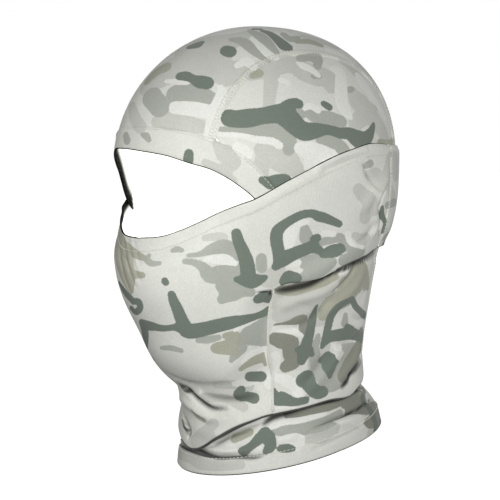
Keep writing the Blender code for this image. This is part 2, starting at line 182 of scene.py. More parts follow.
# The seam at the side of the throat: height, angle round the neck.
NECK_SEAM = ((-0.200, 52), (-0.130, 52), (-0.106, 58), (-0.090, 62), (-0.075, 65), (-0.050, 67))
NECK_SEAM_ANGLE = 52.0
# Half width of the strip over the crown, by arc angle over the head and by height behind it.
STRIP_OVER = ((0, 0.0475), (90, 0.0460), (135, 0.0480), (160, 0.0530), (180, 0.0570))
STRIP_DOWN = (
    (-0.200, 0.033), (-0.125, 0.033), (-0.100, 0.037), (-0.075, 0.043), (-0.050, 0.050),
    (-0.020, 0.056), (0.000, 0.0570),
)


# ---- curves and surfaces, all on whole arrays of points ----
def hermite(t, start, leaving, end, arriving):
    """A smooth curve from start at t = 0 to end at t = 1, with these slopes there."""
    return (
        (2 * t**3 - 3 * t**2 + 1) * start + (t**3 - 2 * t**2 + t) * leaving
        + (3 * t**2 - 2 * t**3) * end + (t**3 - t**2) * arriving
    )


def smooth(table, at, column=1):
    """A table's column at each station, on a smooth curve through its rows."""
    rows = np.array(sorted(table), float)
    x = rows[:, 0]
    y = rows[:, column]
    low = np.maximum(np.arange(len(x)) - 1, 0)
    high = np.minimum(np.arange(len(x)) + 1, len(x) - 1)
    slope = (y[high] - y[low]) / (x[high] - x[low])
    at = np.clip(at, x[0], x[-1])
    i = np.clip(np.searchsorted(x, at, side="right") - 1, 0, len(x) - 2)
    span = x[i + 1] - x[i]
    return hermite((at - x[i]) / span, y[i], span * slope[i], y[i + 1], span * slope[i + 1])


def grow(value, low, high):
    """0 up to low, 1 from high on, and a smooth step between."""
    t = np.clip((value - low) / (high - low), 0.0, 1.0)
    return t * t * (3 - 2 * t)


def fade(value, low, high):
    """1 up to low, 0 from high on, and a smooth step between."""
    return 1 - grow(value, low, high)


def on_ellipse(angle, height, front, side, back, centre):
    turn = np.radians(angle)
    reach = np.where(np.cos(turn) > 0, front + centre, back - centre)
    x = side * np.sin(turn)
    y = centre - reach * np.cos(turn)
    return np.stack(np.broadcast_arrays(x, y, height), -1)


def ring(sections, angle, height):
    """Points on a cross-section at these angles and heights."""
    angle, height = np.broadcast_arrays(np.asarray(angle, float), np.asarray(height, float))
    front, side, back, centre = [smooth(sections, height, i) for i in (1, 2, 3, 4)]
    if sections is HOOD_SECTIONS:
        rise = np.clip(height / HEAD_TOP, 0.0, 1.0)
        shrink = np.sqrt(1 - rise**2)
        full = (1 - rise**BACK_FULLNESS) ** (1 / BACK_FULLNESS)
        front = np.where(height > 0, HEAD_FRONT * shrink, front)
        side = np.where(height > 0, HEAD_SIDE * shrink, side)
        back = np.where(height > 0, HEAD_BACK * full, back)
        centre = np.where(height > 0, 0.0, centre)
    return on_ellipse(angle, height, front, side, back, centre)


def dome(x, arc):
    """Points of the dome over the head: x across, arc in degrees from the forehead up."""
    x, arc = np.broadcast_arrays(x, arc)
    depth = np.where(arc > 90, HEAD_BACK, HEAD_FRONT)
    power = np.where(arc > 90, BACK_FULLNESS, 2.0)
    along = -np.cos(np.radians(arc))
    up = np.sin(np.radians(arc))
    reach = (np.abs(along) ** power + np.abs(up) ** power) ** (1 / power)
    spread = np.sqrt(1 - (x / HEAD_SIDE) ** 2) / reach
    return np.stack([x, depth * spread * along, HEAD_TOP * spread * up], -1)


def strip(across, run):
    """Points of the crown strip. Run 0 to 1 goes over the dome and 1 to 2 down the back."""
    across, run = np.broadcast_arrays(np.asarray(across, float), np.asarray(run, float))
    over = np.minimum(run, 1.0)
    x = across * smooth(STRIP_OVER, 180 * over)
    sideways = np.degrees(np.arcsin(np.clip(np.abs(x) / HEAD_SIDE, 0, 1)))
    spread = np.sqrt(1 - (x / HEAD_SIDE) ** 2)
    start = np.degrees(np.arcsin(smooth(BROW_LINE, sideways) / (HEAD_TOP * spread)))
    top = dome(x, start + (180 - start) * over)
    height = np.maximum(run - 1, 0.0) * STRIP_FOOT
    x = across * smooth(STRIP_DOWN, height)
    angle = 180 - np.degrees(np.arcsin(x / smooth(HOOD_SECTIONS, height, 2)))
    down = ring(HOOD_SECTIONS, angle, height)
    return np.where((run <= 1)[..., None], top, down)


def strip_half_width(run):
    down = smooth(STRIP_DOWN, np.maximum(run - 1, 0.0) * STRIP_FOOT)
    return np.where(run <= 1, smooth(STRIP_OVER, 180 * np.minimum(run, 1.0)), down)


def side_surface(y, z):
    """Points of the hood's surface at the wearer's left with the given y and z."""
    depth = np.where(y < 0, HEAD_FRONT, HEAD_BACK)
    power = np.where(y < 0, 2.0, BACK_FULLNESS)
    rise = np.clip(z / HEAD_TOP, 0.0, 1.0)
    square = 1 - (np.abs(y / depth) ** power + rise**power) ** (2 / power)
    above = HEAD_SIDE * np.sqrt(np.clip(square, 0.0, 1.0))
    front, side, back, centre = [smooth(HOOD_SECTIONS, z, i) for i in (1, 2, 3, 4)]
    reach = np.where(y < centre, front + centre, back - centre)
    below = side * np.sqrt(np.clip(1 - ((y - centre) / reach) ** 2, 0.0, 1.0))
    return np.stack([np.where(z >= 0, above, below), y, z], -1)


def mask_top(angle):
    """Height of the mask's top edge, which dips at the corner of the wearer's right eye."""
    angle = np.asarray(angle, float)
    signed = np.where(angle > 180, angle - 360, angle)
    away = (signed - RIGHT_EYE_DIP_AT) / RIGHT_EYE_DIP_SPREAD
    dip = RIGHT_EYE_DIP * np.exp(-(away**2))
    return smooth(MASK_TOP, np.abs(signed)) - dip


def mask_surface(angle, height):
    """The mask, which leans in just below its edge under the eyes and joins the throat."""
    angle, height = np.broadcast_arrays(np.asarray(angle, float), np.asarray(height, float))
    turn = np.abs(angle)
    turn = np.where(turn > 180, 360 - turn, turn)
    face = ring(MASK_SECTIONS, angle, np.maximum(height, MASK_SECTIONS[-1][0]))
    face[..., 2] = height
    outward = outward_of(face)
    below = mask_top(angle) - height
    lean = EYE_EDGE_LEAN * fade(turn, 38, 57) * fade(below, 0, 0.022)
    face = face - outward * lean[..., None]
    # The chin turns in to the throat over a greater depth in front than at the sides.
    depth = 0.007 + 0.016 * fade(turn, 30, 64)
    throat = grow(smooth(MASK_FOOT, turn) - height, 0, depth)
    before_seam = turn - smooth(NECK_SEAM, height)
    at_seam = grow(before_seam, -12, 0) * grow(SEAM_CORNER[1] - height, 0, 0.012)
    throat = np.where(turn > SEAM_CORNER[0], 0.0, np.maximum(throat, at_seam))
    neck = ring(HOOD_SECTIONS, angle, height)
    return face + (neck - face) * throat[..., None]


def outward_of(points):
    """Level unit vectors that point away from the head's upright axis."""
    away = points - np.array([0.0, 0.012, 0.0])
    away[..., 2] = 0.0
    return away / np.maximum(np.linalg.norm(away, axis=-1, keepdims=True), 1e-9)


# ---- casting given points onto a cloth ----
MISSED_DISTANCE = VIEW_DISTANCE * 1.005


def cast(target, across, up):
    """The point of a surface that the three-quarter view sees at (across, up) millimetres.

    Where the view misses the surface, its nearest point to one just behind the head's middle.
    """
    aim = (ACROSS * across + UP * up) * MM
    direction = Vector(aim - EYE).normalized()
    hit = target.ray_cast(Vector(EYE), direction)[0]
    if hit is None:
        hit = target.find_nearest(Vector(EYE) + direction * MISSED_DISTANCE)[0]
    return np.array(hit)


def cast_line(target, line):
    return np.array([cast(target, *point[:2]) for point in line])


def flowing(points, share=4):
    """More points along a smooth curve through a few, each with any further values."""
    points = np.array(points, float)
    if len(points) < 3:
        return points
    before = np.vstack([2 * points[0] - points[1], points[:-1]])
    after = np.vstack([points[1:], 2 * points[-1] - points[-2]])
    tangent = (after - before) / 2
    t = (np.arange(share) / share)[:, None]
    spans = zip(points, tangent, points[1:], tangent[1:])
    return np.concatenate([hermite(t, *span) for span in spans] + [points[-1:]])


def chain_distance(points, chain):
    """Distance from each point to a chain, with the share along it, the nearest point on it and
    the chain's direction there."""
    best = np.full(len(points), np.inf)
    share = np.zeros(len(points))
    foot = np.zeros((len(points), 3))
    heading = np.zeros((len(points), 3))
    count = max(len(chain) - 1, 1)
    for i in range(count):
        a = chain[i]
        b = chain[min(i + 1, len(chain) - 1)]
        along = b - a
        t = np.clip((points - a) @ along / max(along @ along, 1e-12), 0.0, 1.0)
        near = a + t[:, None] * along
        distance = np.linalg.norm(points - near, axis=1)
        closer = distance < best
        best[closer] = distance[closer]
        share[closer] = (i + t[closer]) / count
        foot[closer] = near[closer]
        heading[closer] = along
    return best, share, foot, heading


def tree(cloths):
    """A search tree over the cells of some cloths."""
    points, quads = [], []
    for cloth in cloths:
        grid = cloth.base
        if cloth.wrap:
            grid = np.concatenate([grid, grid[:, :1]], axis=1)
        rows, columns = grid.shape[:2]
        number = np.arange(rows * columns).reshape(rows, columns) + len(points)
        cells = np.stack([number[:-1, :-1], number[:-1, 1:], number[1:, 1:], number[1:, :-1]], -1)
        quads += cells[cloth.keep].tolist()
        points += grid.reshape(-1, 3).tolist()
    return BVHTree.FromPolygons(points, quads)


# ---- cloth ----
def link(name, data):
    """A new object in the scene."""
    thing = bpy.data.objects.new(name, data)
    bpy.context.scene.collection.objects.link(thing)
    return thing


def new_mesh(name, points, faces, materials):
    mesh = bpy.data.meshes.new(name)
    mesh.from_pydata(points.tolist(), [], faces)
    mesh.shade_smooth()
    for material in materials:
        mesh.materials.append(material)
    return mesh


def lengths_along(points):
    return np.concatenate([[0], np.cumsum(np.linalg.norm(np.diff(points, axis=0), axis=1))])


def at_lengths(vectors, lengths, at):
    """Vectors given at some lengths along a line, at other lengths."""
    return np.stack([np.interp(at, lengths, vectors[:, i]) for i in range(3)], -1)


def spaced(low, high, length):
    """Stations from low to high, about STEP apart over that length."""
    return np.linspace(low, high, max(int(round(length / STEP)), 2) + 1)


def cell_normals(grid, keep, wrap):
    """Unit normals at the points of a grid, pointing away from the head."""
    right = np.roll(grid, -1, axis=1) if wrap else grid[:, 1:]
    here = grid if wrap else grid[:, :-1]
    across = (right - here)[:-1]
    down = here[1:] - here[:-1]
    face = np.cross(across, down) * keep[..., None]
    total = np.zeros_like(grid)
    columns = face.shape[1]
    for drop in (0, 1):
        total[drop:drop + face.shape[0], :columns] += face
        if wrap:
            total[drop:drop + face.shape[0]] += np.roll(face, 1, axis=1)
        else:
            total[drop:drop + face.shape[0], 1:] += face
    unit = total / np.maximum(np.linalg.norm(total, axis=-1, keepdims=True), 1e-12)
    centre = np.array([0.0, 0.010, 0.0]) + np.zeros_like(grid)
    centre[..., 2] = np.clip(grid[..., 2], -0.2, 0.03)
    if np.sum(unit * (grid - centre)) < 0:
        unit = -unit
    return unit


FOLD_STRENGTH = 1.5
MIRROR = np.array([-1.0, 1.0, 1.0])


class Cloth:
    """A grid of points with the cells that are cloth, worked on before it becomes a mesh."""

    def __init__(self, grid, keep=None, wrap=False):
        self.base = grid
        self.points = grid.copy()
        cells = (grid.shape[0] - 1, grid.shape[1] if wrap else grid.shape[1] - 1)
        self.keep = np.ones(cells, bool) if keep is None else keep
        self.wrap = wrap
        self.print_and_shade = {}

    def normals(self):
        return cell_normals(self.points, self.keep, self.wrap)

    def area(self):
        grid = self.base
        if self.wrap:
            grid = np.concatenate([grid, grid[:, :1]], axis=1)
        one = np.cross(grid[:-1, 1:] - grid[:-1, :-1], grid[1:, :-1] - grid[:-1, :-1])
        two = np.cross(grid[1:, :-1] - grid[1:, 1:], grid[:-1, 1:] - grid[1:, 1:])
        cells = (np.linalg.norm(one, axis=-1) + np.linalg.norm(two, axis=-1)) / 2
        return float(np.sum(cells * self.keep))

    def push(self, amount):
        """Move every point along its normal."""
        self.points = self.points + self.normals() * amount[..., None]

    def fold(self, folds, target, both_sides=False):
        """Raise ridges and press creases, each (height, width, lap, points) in millimetres."""
        flat = self.base.reshape(-1, 3)
        normals = cell_normals(self.base, self.keep, self.wrap).reshape(-1, 3)
        total = np.zeros(len(flat))
        for height, width, lap, points in folds:
            chain = cast_line(target, flowing(points))
            amount = FOLD_STRENGTH * height * MM
            total += ridge(flat, normals, chain, amount, width * MM, lap)
            if both_sides:
                total += ridge(flat * MIRROR, normals * MIRROR, chain, amount, width * MM, lap)
        self.push(total.reshape(self.base.shape[:2]))
        # Painted shade: the fold depth is kept, and the material paints the creases darker by it.
        self.print_and_shade["crease_shade"] = total.reshape(self.base.shape[:2]) / MM

    def shade(self, lines, target):
        """Paint deeper shade along given lines, each (strength, width, points)."""
        flat = self.base.reshape(-1, 3)
        normals = cell_normals(self.base, self.keep, self.wrap).reshape(-1, 3)
        # Painted shade only: these lines darken the colour and change no shape.
        for strength, width, points in lines:
            chain = cast_line(target, flowing(points))
            dark = ridge(flat, normals, chain, strength, width * MM, 1.0)
            self.print_and_shade["crease_shade"] = np.minimum(self.print_and_shade["crease_shade"], -dark.reshape(self.base.shape[:2]))


def ridge(points, normals, chain, height, width, lap):
    """Height of a fold along a chain. With lap below 1 its right-hand side is that much steeper."""
    middle = chain.mean(axis=0)
    reach = np.linalg.norm(chain - middle, axis=1).max() + 3 * width
    near = np.linalg.norm(points - middle, axis=1) < reach
    amount = np.zeros(len(points))
    distance, share, foot, heading = chain_distance(points[near], chain)
    side = np.einsum("ij,ij->i", np.cross(heading, normals[near]), points[near] - foot)
    spread = np.where(side > 0, width * lap, width)
    taper = np.clip(4 * share * (1 - share), 0.0, 1.0) ** 0.4
    amount[near] = height * taper * np.exp(-((distance / spread) ** 2))
    return amount


def cloth_mesh(cloth, name, materials, thickness):
    """A closed sheet: outer face, inner face and a rounded edge between them."""
    outer = cloth.points
    normals = cloth.normals()
    rows, columns = outer.shape[:2]
    number = np.arange(rows * columns).reshape(rows, columns)
    right = np.roll(number, -1, axis=1) if cloth.wrap else number[:, 1:]
    left = number if cloth.wrap else number[:, :-1]
    quads = np.stack([left[:-1], right[:-1], right[1:], left[1:]], -1)
    quads = quads[cloth.keep]
    flat = outer.reshape(-1, 3)
    first = quads[0]
    face_normal = np.cross(flat[first[1]] - flat[first[0]], flat[first[3]] - flat[first[0]])
    if face_normal @ normals.reshape(-1, 3)[first[0]] < 0:
        quads = quads[:, ::-1]
    used = np.unique(quads)
    slot_of = np.full(rows * columns, -1)
    slot_of[used] = np.arange(len(used))
    quads = slot_of[quads]
    top = flat[used]
    inward = normals.reshape(-1, 3)[used]
    bottom = top - inward * thickness

    edges = np.concatenate([quads[:, [k, (k + 1) % 4]] for k in range(4)])
    key = np.sort(edges, axis=1)
    code = key[:, 0] * len(used) + key[:, 1]
    _, index, counts = np.unique(code, return_index=True, return_counts=True)
    border = edges[index[counts == 1]]
    rim = np.unique(border)
    rim_slot = np.full(len(used), -1)
    rim_slot[rim] = np.arange(len(rim))
    away = rim_directions(top, quads, border, rim)
    middle = (top[rim] + bottom[rim]) / 2 + away * thickness * 0.45

    points = np.concatenate([top, bottom, middle])
    n = len(used)
    a, b = border[:, 0], border[:, 1]
    upper = np.stack([b, a, 2 * n + rim_slot[a], 2 * n + rim_slot[b]], -1)
    lower = np.stack([2 * n + rim_slot[b], 2 * n + rim_slot[a], n + a, n + b], -1)
    faces = np.concatenate([quads, quads[:, ::-1] + n, upper, lower])

    mesh = new_mesh(name, points, faces.tolist(), materials)
    material_index = np.zeros(len(faces), np.int32)
    material_index[len(quads):2 * len(quads)] = 1
    if "edge" in cloth.print_and_shade:
        # The rim takes the inside's material at a painted dark edge, and where the edge is PLAIN_RIM.
        mark = cloth.print_and_shade["edge"].reshape(-1)[used[a]]
        inner_rim = (mark > 0.3) | (mark < 0)
        material_index[2 * len(quads):] = np.tile(inner_rim, 2)
    mesh.polygons.foreach_set("material_index", material_index)
    source = np.concatenate([used, used, used[rim]])
    add_coordinates(mesh, cloth, source)
    for ink, values in cloth.print_and_shade.items():
        attribute = mesh.attributes.new(ink, "FLOAT", "POINT")
        attribute.data.foreach_set("value", values.reshape(-1)[source].astype(np.float32))
    return link(name, mesh)


def rim_directions(top, quads, border, rim):
    """At each border point, the unit direction out of the cloth and along its surface."""
    centre = top[quads].mean(axis=1)
    total = np.zeros_like(top)
    count = np.zeros(len(top))
    for corner in range(4):
        np.add.at(total, quads[:, corner], centre)
        np.add.at(count, quads[:, corner], 1.0)
    inner = total[rim] / count[rim][:, None]
    away = top[rim] - inner
    return away / np.maximum(np.linalg.norm(away, axis=1, keepdims=True), 1e-12)


def add_coordinates(mesh, cloth, source):
    """Coordinates in metres along the cloth's courses and wales, for the knit."""
    grid = cloth.base
    across = np.linalg.norm(np.diff(grid, axis=1), axis=-1)
    down = np.linalg.norm(np.diff(grid, axis=0), axis=-1)
    u = np.concatenate([np.zeros((grid.shape[0], 1)), np.cumsum(across, axis=1)], axis=1)
    u = u - u[:, u.shape[1] // 2][:, None]
    v = np.concatenate([np.zeros((1, grid.shape[1])), np.cumsum(down, axis=0)], axis=0)
    place = np.stack([u, v, np.zeros_like(u)], -1).reshape(-1, 3)[source]
    attribute = mesh.attributes.new("weave", "FLOAT_VECTOR", "POINT")
    attribute.data.foreach_set("vector", place.astype(np.float32).ravel())


# ---- the print ----
INKS = ("light", "mid", "taupe", "umber", "cream", "dark")
FAR = 6.0           # millimetres from a patch at which its value stops falling
INK_SPREAD = {"light": 1.1, "mid": 0.9, "taupe": 0.9, "umber": 0.7, "cream": 0.5, "dark": 0.7}
DEPTH_WEIGHT = 0.4  # share of a distance along the view that counts in a stroke's width


def turned_by(angle):
    """Matrix that turns row vectors about the head's upright axis, to the wearer's left."""
    turn = radians(angle)
    return np.array([[cos(turn), sin(turn), 0.0], [-sin(turn), cos(turn), 0.0], [0.0, 0.0, 1.0]])


SEEN_ANGLES = (-46, 142)    # angles round the head that the three-quarter view shows
# Copies of the print for the hidden sides: mirrored, turned to the back, and turned to the left.
COPY_TURNS = (np.diag([-1.0, 1.0, 1.0]), turned_by(180), turned_by(92))


def is_hidden(points):
    """Whether a patch is on the far side or the back, out of the three-quarter view."""
    angle = np.degrees(np.arctan2(points[:, 0], -points[:, 1]))
    return not ((angle > SEEN_ANGLES[0]) & (angle < SEEN_ANGLES[1])).any()


def flattened(points, towards):
    """Points squeezed along a viewing direction, so that strokes keep the width seen from there."""
    return points - (1 - DEPTH_WEIGHT) * (points @ towards)[:, None] * towards



def shade_roll(cloth):
    """Paint shade on the part of a rolled bottom edge that turns under."""
    cloth.print_and_shade["crease_shade"][-ROLL_ROWS:] = ROLL_SHADE


def shade_wing_foot(cloth, row):
    """Paint shade on the inside of the band above its lower edge, a row of it."""
    away = np.linalg.norm(cloth.base - cloth.base[row], axis=-1)
    cloth.print_and_shade["edge"] = fade(away, WING_SHADE, 3 * WING_SHADE)


def darken_edge(cloth, row, reach, right_end=-180.0):
    """Paint shade at a cloth's free edge, a row of it: a dark line, and a strip of the given reach on
    the inside at the wearer's right, from an angle on."""
    points = cloth.base
    away = np.linalg.norm(points - points[row], axis=-1)
    turn = np.degrees(np.arctan2(points[..., 0], -points[..., 1]))
    reach = EDGE_LINE + (reach - EDGE_LINE) * fade(turn, -30, -15)
    cloth.print_and_shade["edge"] = fade(away / reach, 0.35, 1.0) * grow(turn - right_end, 0, 1.5)


def ink_chains(source, ink, target):
    """Each stroke of an ink, cast onto a cloth, with its half width at each point."""
    for points in source.get(ink, ()):
        line = flowing(points, 3)
        yield cast_line(target, line), line[:, 2] + INK_SPREAD[ink]


def print_patches(cloth, target, prints, copied):
    """Ink a cloth. What the view doesn't show takes mirrored and turned copies of strokes."""
    points = cloth.base.reshape(-1, 3)
    for ink in INKS:
        values = np.full(len(points), -FAR)
        for source in prints:
            for chain, radii in ink_chains(source, ink, target):
                brush(values, points, chain, radii, TOWARDS)
        for source in copied:
            for chain, radii in ink_chains(source, ink, target):
                for turn in COPY_TURNS:
                    copy = chain @ turn
                    if is_hidden(copy):
                        copy = np.array([target.find_nearest(Vector(p))[0] for p in copy])
                        brush(values, points, copy, radii, TOWARDS @ turn)
        cloth.print_and_shade["ink_" + ink] = values


def brush(values, points, chain, radii, towards):
    """Raise an ink's value, millimetres inside its patch, along a stroke of changing width."""
    points = flattened(points, towards)
    chain = flattened(chain, towards)
    middle = chain.mean(axis=0)
    reach = np.linalg.norm(chain - middle, axis=1).max() + (radii.max() + FAR) * MM
    near = np.flatnonzero(np.linalg.norm(points - middle, axis=1) < reach)
    distance, share, _, _ = chain_distance(points[near], chain)
    radius = np.interp(share, np.linspace(0, 1, len(radii)), radii)
    values[near] = np.maximum(values[near], radius - distance / MM)


# Strokes of the print by ink, in points (across, up, half width) in millimetres.
CROWN_PRINT = {
    "light": (
        ((-70, 50, 5), (-60, 58, 8), (-45, 66, 9), (-30, 68, 12), (-18, 60, 9), (-11, 62, 5)),
        ((-44, 74, 8), (-30, 77, 8), (-16, 80, 6), (-6, 84, 3)),
        ((-64, 28, 2.6), (-58, 28.5, 4.6), (-50, 28, 4.8), (-43, 26.5, 4), (-35, 24.5, 3.2)),
        ((-74, 24, 3), (-78, 30, 3), (-80, 38, 2)), ((30, 83, 1), (40, 80.5, 1.6), (52, 75.6, 1.8)),
        ((66, 65, 1.2), (73, 57, 1.8), (79, 48, 2)), ((84, 44, 1.4), (87, 34, 1.8), (89, 24, 1.6)),
    ),
    "mid": (
        ((-67, 43.5, 6), (-62, 37, 5.5)), ((-52, 45.5, 5), (-44, 48, 6), (-36, 45, 6), (-29, 43, 3.4)),
        ((-83.5, 19, 1.4), (-82.5, 15.5, 1.8)),
        ((-73, 19.4, 0.5), (-70.4, 18.4, 1.4), (-68.6, 16, 0.8)),
        ((-16, 80.8, 0.8), (-9, 79.6, 2.6), (-3, 75.4, 3), (3, 70.8, 2.3), (8, 67, 0.8)),
        ((-4, 86.4, 1), (3, 82.6, 3), (8, 77.4, 3), (13, 72.6, 1.4)),
        ((18, 84, 1.6), (22, 81, 1.8), (27, 82, 1.2)),
    ),
    "taupe": (
        ((-58, 63, 3), (-64, 60, 3), (-70, 54, 2)), ((26, 79.4, 0.8), (34, 79.6, 1.6), (42, 77, 1)),
    ),
    "cream": (
        ((-52, 37, 3.6), (-40, 36, 4.2), (-29, 34, 4)), ((-12, 64, 1.6), (-6, 67, 2.4), (-2, 63, 2.4)),
        ((-23, 50, 1.5), (-22, 46, 3), (-26, 34, 4), (-29, 20, 4)),
        ((-58, 54, 0.8), (-50, 53.5, 1.6), (-44, 53, 1)),
        ((-3, 82, 0.8), (3, 76, 2), (9, 70.4, 2.2), (13, 68.6, 1.4)),
        ((46, 74, 1.4), (56, 70, 1.6), (62, 65, 1)),
    ),
    "dark": (
        ((-49, 57.2, 2.2), (-45, 57.2, 2.6), (-41, 55.6, 2.2), (-37, 53.8, 3.6), (-31.5, 52.8, 3.6)),
        ((-19, 73.5, 3.5), (-17, 73, 3.7)), ((-43, 76, 1.4), (-37.5, 77.4, 2.4), (-35, 78.8, 1.2)),
        ((-43.5, 3, 2.6), (-43.2, 7.2, 2.3)),
        ((4, 86.4, 0.8), (9, 84.6, 1.8), (14, 80.6, 2.6), (18, 77, 3.4), (20.5, 75.6, 2.6)),
        ((-2, 87.4, 0.6), (3, 87.6, 0.5)),
    ),
}
SIDE_PRINT = {
    "light": (
        ((-24, 14, 3), (-20, 8, 5), (-15, 2, 4), (-19, -1, 3)),
        ((-33, 2, 1), (-27, -2, 2.4), (-20, -6, 2.4), (-14, -10, 1)),
        ((-3, 58, 3), (8, 62, 5), (22, 65, 5), (32, 60, 6), (46, 55, 6), (48, 50, 3)),
        ((4, 10, 4), (12, 5, 6), (20, 2, 7), (26, -3, 4)),
        ((64, 27, 4), (72, 32, 5), (80, 24, 4), (84, 14, 3)),
        ((56, 67, 2.4), (62, 63, 3.4), (70, 52, 1.4)),
        ((62, 47, 3), (66, 41, 6), (71, 37, 5), (76, 36, 2)),
        ((14, -88, 5), (26, -88, 8), (40, -84, 8), (54, -80, 8), (66, -74, 7)),
        ((14, -97, 3), (24, -96, 4), (40, -99, 4), (46, -96, 3)),
        ((42, -117, 5), (40, -128, 6), (44, -137, 5)),
    ),
    "mid": (
        ((-22, 22.6, 1.2), (-10, 22.4, 2), (2, 22.4, 3.4), (13, 21, 4.6), (20, 17, 5), (21, 10, 3)),
        ((28, 33, 2.6), (33, 34.4, 2.6), (38, 31, 3), (46, 30.6, 3.4), (55, 28, 3)),
        ((42, 17, 3), (49, 14.6, 4.4), (56, 9, 4), (59, 5, 2)),
        ((28, 68.6, 1.6), (34, 69.2, 2), (39.4, 69, 2.8), (39.4, 63.6, 1.8)),
        ((37, 57, 1), (40, 57.6, 1.6)), ((60, 48.4, 1.4), (62, 49, 1)),
        ((64, -118, 3), (62, -122, 5), (58, -129, 5.4), (53, -137, 5.4), (47, -141.6, 4), (42, -141, 2)),
        ((57, -117.6, 1.6), (62, -117, 2)),
        ((36, -115, 1.4), (38, -126, 3), (41, -136, 3), (38, -119, 2)),
        ((40, -110, 0.8), (39, -114, 1.6)), ((57.6, -96.6, 0.8), (57, -102, 1.8)),
    ),
    "taupe": (
        ((-2, 57.4, 1.2), (2, 59, 2)), ((80, 14, 2), (86, 13, 2.4), (90, 15, 2)),
        ((14, -80, 2.4), (22, -81, 2.6), (32, -77.5, 3.4), (42, -74, 3.4), (50, -71, 2)),
        ((56, -76, 4), (62, -78, 7), (67, -68, 6), (58, -84, 6), (48, -89, 4), (43, -97, 2.4)),
        ((70, -70, 3), (71, -78, 3)),
    ),
    "umber": (
        # The first umber stroke is partly painted shade beside the pinch at the back of the neck, partly
        # print.
        ((68, -108, 3), (66, -118, 4.6), (61, -127, 4.6), (56, -136, 4)),
        ((12, -103, 0.3), (20, -102, 0.7), (26, -100.4, 2.2), (31, -99.4, 2.2), (31, -106, 2.6)),
        ((12, -112, 3.4), (17, -113.4, 4.4), (24, -114, 3), (22, -120, 4.4), (24, -126, 4.6),
         (19, -130, 3)),
    ),
    "cream": (
        ((27, 65.6, 0.8), (30, 63.8, 2), (35, 61.8, 1.8), (40, 57.8, 1.4)),
        ((49.6, 62, 1.8), (54, 59.6, 3.2), (54.8, 50, 3.8), (55, 41, 3.8), (58.4, 34, 3.2),
         (61, 30.4, 1)),
        ((16, 54.8, 1.4), (20.6, 53, 1.4)), ((-12, 11.4, 2.6), (-9, 9.4, 3.6), (-5.4, 7.4, 2.8)),
        ((28, 11, 3), (34, 9, 5.4), (42, 5.4, 7), (49, 4, 4.6), (36, 0, 5)),
        ((-24, 20, 0.8), (-10, 19, 1.2), (0, 16.4, 1.8), (10, 15.4, 1.8), (15, 12.6, 2)),
        ((65.6, 57.6, 2), (68, 54, 3), (73, 46, 2.4), (79, 38, 1.8), (83, 30, 1.2)),
        ((31, 36, 0.8), (35, 38, 1.6), (40, 35, 1.4)),
        ((12, -105.4, 1.4), (20, -105.8, 2), (26, -108, 1.4), (29.4, -109.6, 0.7)),
        ((11.4, -122.4, 1.4), (13.4, -122.4, 1.8), (12.6, -132, 1.6)),
        ((13, -137, 2), (19, -138.6, 3.2), (24.6, -142, 3), (27, -147, 2.4), (29.6, -149.6, 1)),
        ((49.4, -117, 1), (53.4, -117.4, 1.9)), ((62.4, -99.6, 1.6), (66.6, -101, 2.8), (69, -101, 2)),
        ((70.6, -82, 1.2), (68.6, -88, 1.9)), ((12.6, -156.6, 0.6), (25, -155.6, 0.6)),
    ),
    "dark": (
        ((-17, 30.2, 4.8), (-12, 29.6, 4.8), (-5, 30.2, 5.2), (4, 31.6, 4.6), (12, 32.8, 5.2),
         (19, 33, 6.4)),
        ((16, 36, 2.6), (21, 38.6, 3), (25.4, 39.6, 2.9), (27.4, 39.4, 2.4)),
        ((20, 31, 6.4), (26, 25, 5.6), (31, 21.6, 5.2), (38, 22.2, 4.4), (46, 22.8, 2.6),
         (54, 20.6, 2.8)),
        ((54, 20.4, 2.8), (60, 20.2, 3.4), (66, 16.6, 5.2), (71, 17.4, 4), (74, 21.6, 2.2),
         (75.8, 26.4, 0.6)),
        ((43.6, 39.4, 1.4), (47.2, 37.2, 1.6)),
        ((4, -9.6, 1.8), (9, -11.4, 3.4), (14, -10.2, 3.4), (19, -8.8, 2.2), (22, -10, 1)),
        ((39.4, -90.6, 0.4), (38.2, -95, 1.3), (36, -102, 1.9), (34.4, -109, 2.4), (32.6, -114.6, 3)),
        ((26.4, -119, 1), (30, -118.6, 3), (33.4, -119.4, 3.2), (35.8, -121.6, 1.4)),
        ((30.6, -121, 3.8), (29.4, -126, 2.2)),
        ((42.4, -117.4, 0.6), (44.6, -112, 1.8), (46.6, -103, 1.9), (48.8, -95.6, 2), (52.6, -90.8, 1.9),
         (57.6, -87.8, 1.6), (61.6, -86.6, 1.6), (64, -91, 1.6), (68, -95, 1.6), (71, -97.4, 1.6)),
        ((43.4, -115, 1.4), (47.6, -110.8, 2.8), (54, -109.4, 3.3), (61, -108.6, 3.3), (66, -110, 2.8),
         (69, -112, 2.4)),
        ((58.6, -104, 1.3), (61.4, -106, 1.9)),
        ((42, -126, 1.2), (46, -125, 3.8), (49.4, -126.8, 3.2), (52, -126.8, 0.8)),
        ((46, -123, 2.4), (46.8, -130, 4), (47, -135.6, 1.4)),
        ((30, -138.8, 3.8), (33.6, -136.4, 3.6), (34, -142, 3.8), (39, -146.4, 3.6), (43, -146, 3)),
        ((11, -145.6, 1.6), (12.6, -149.6, 4), (18, -150.8, 3.6), (25, -152.6, 2), (32, -151.4, 1.6)),
    ),
}
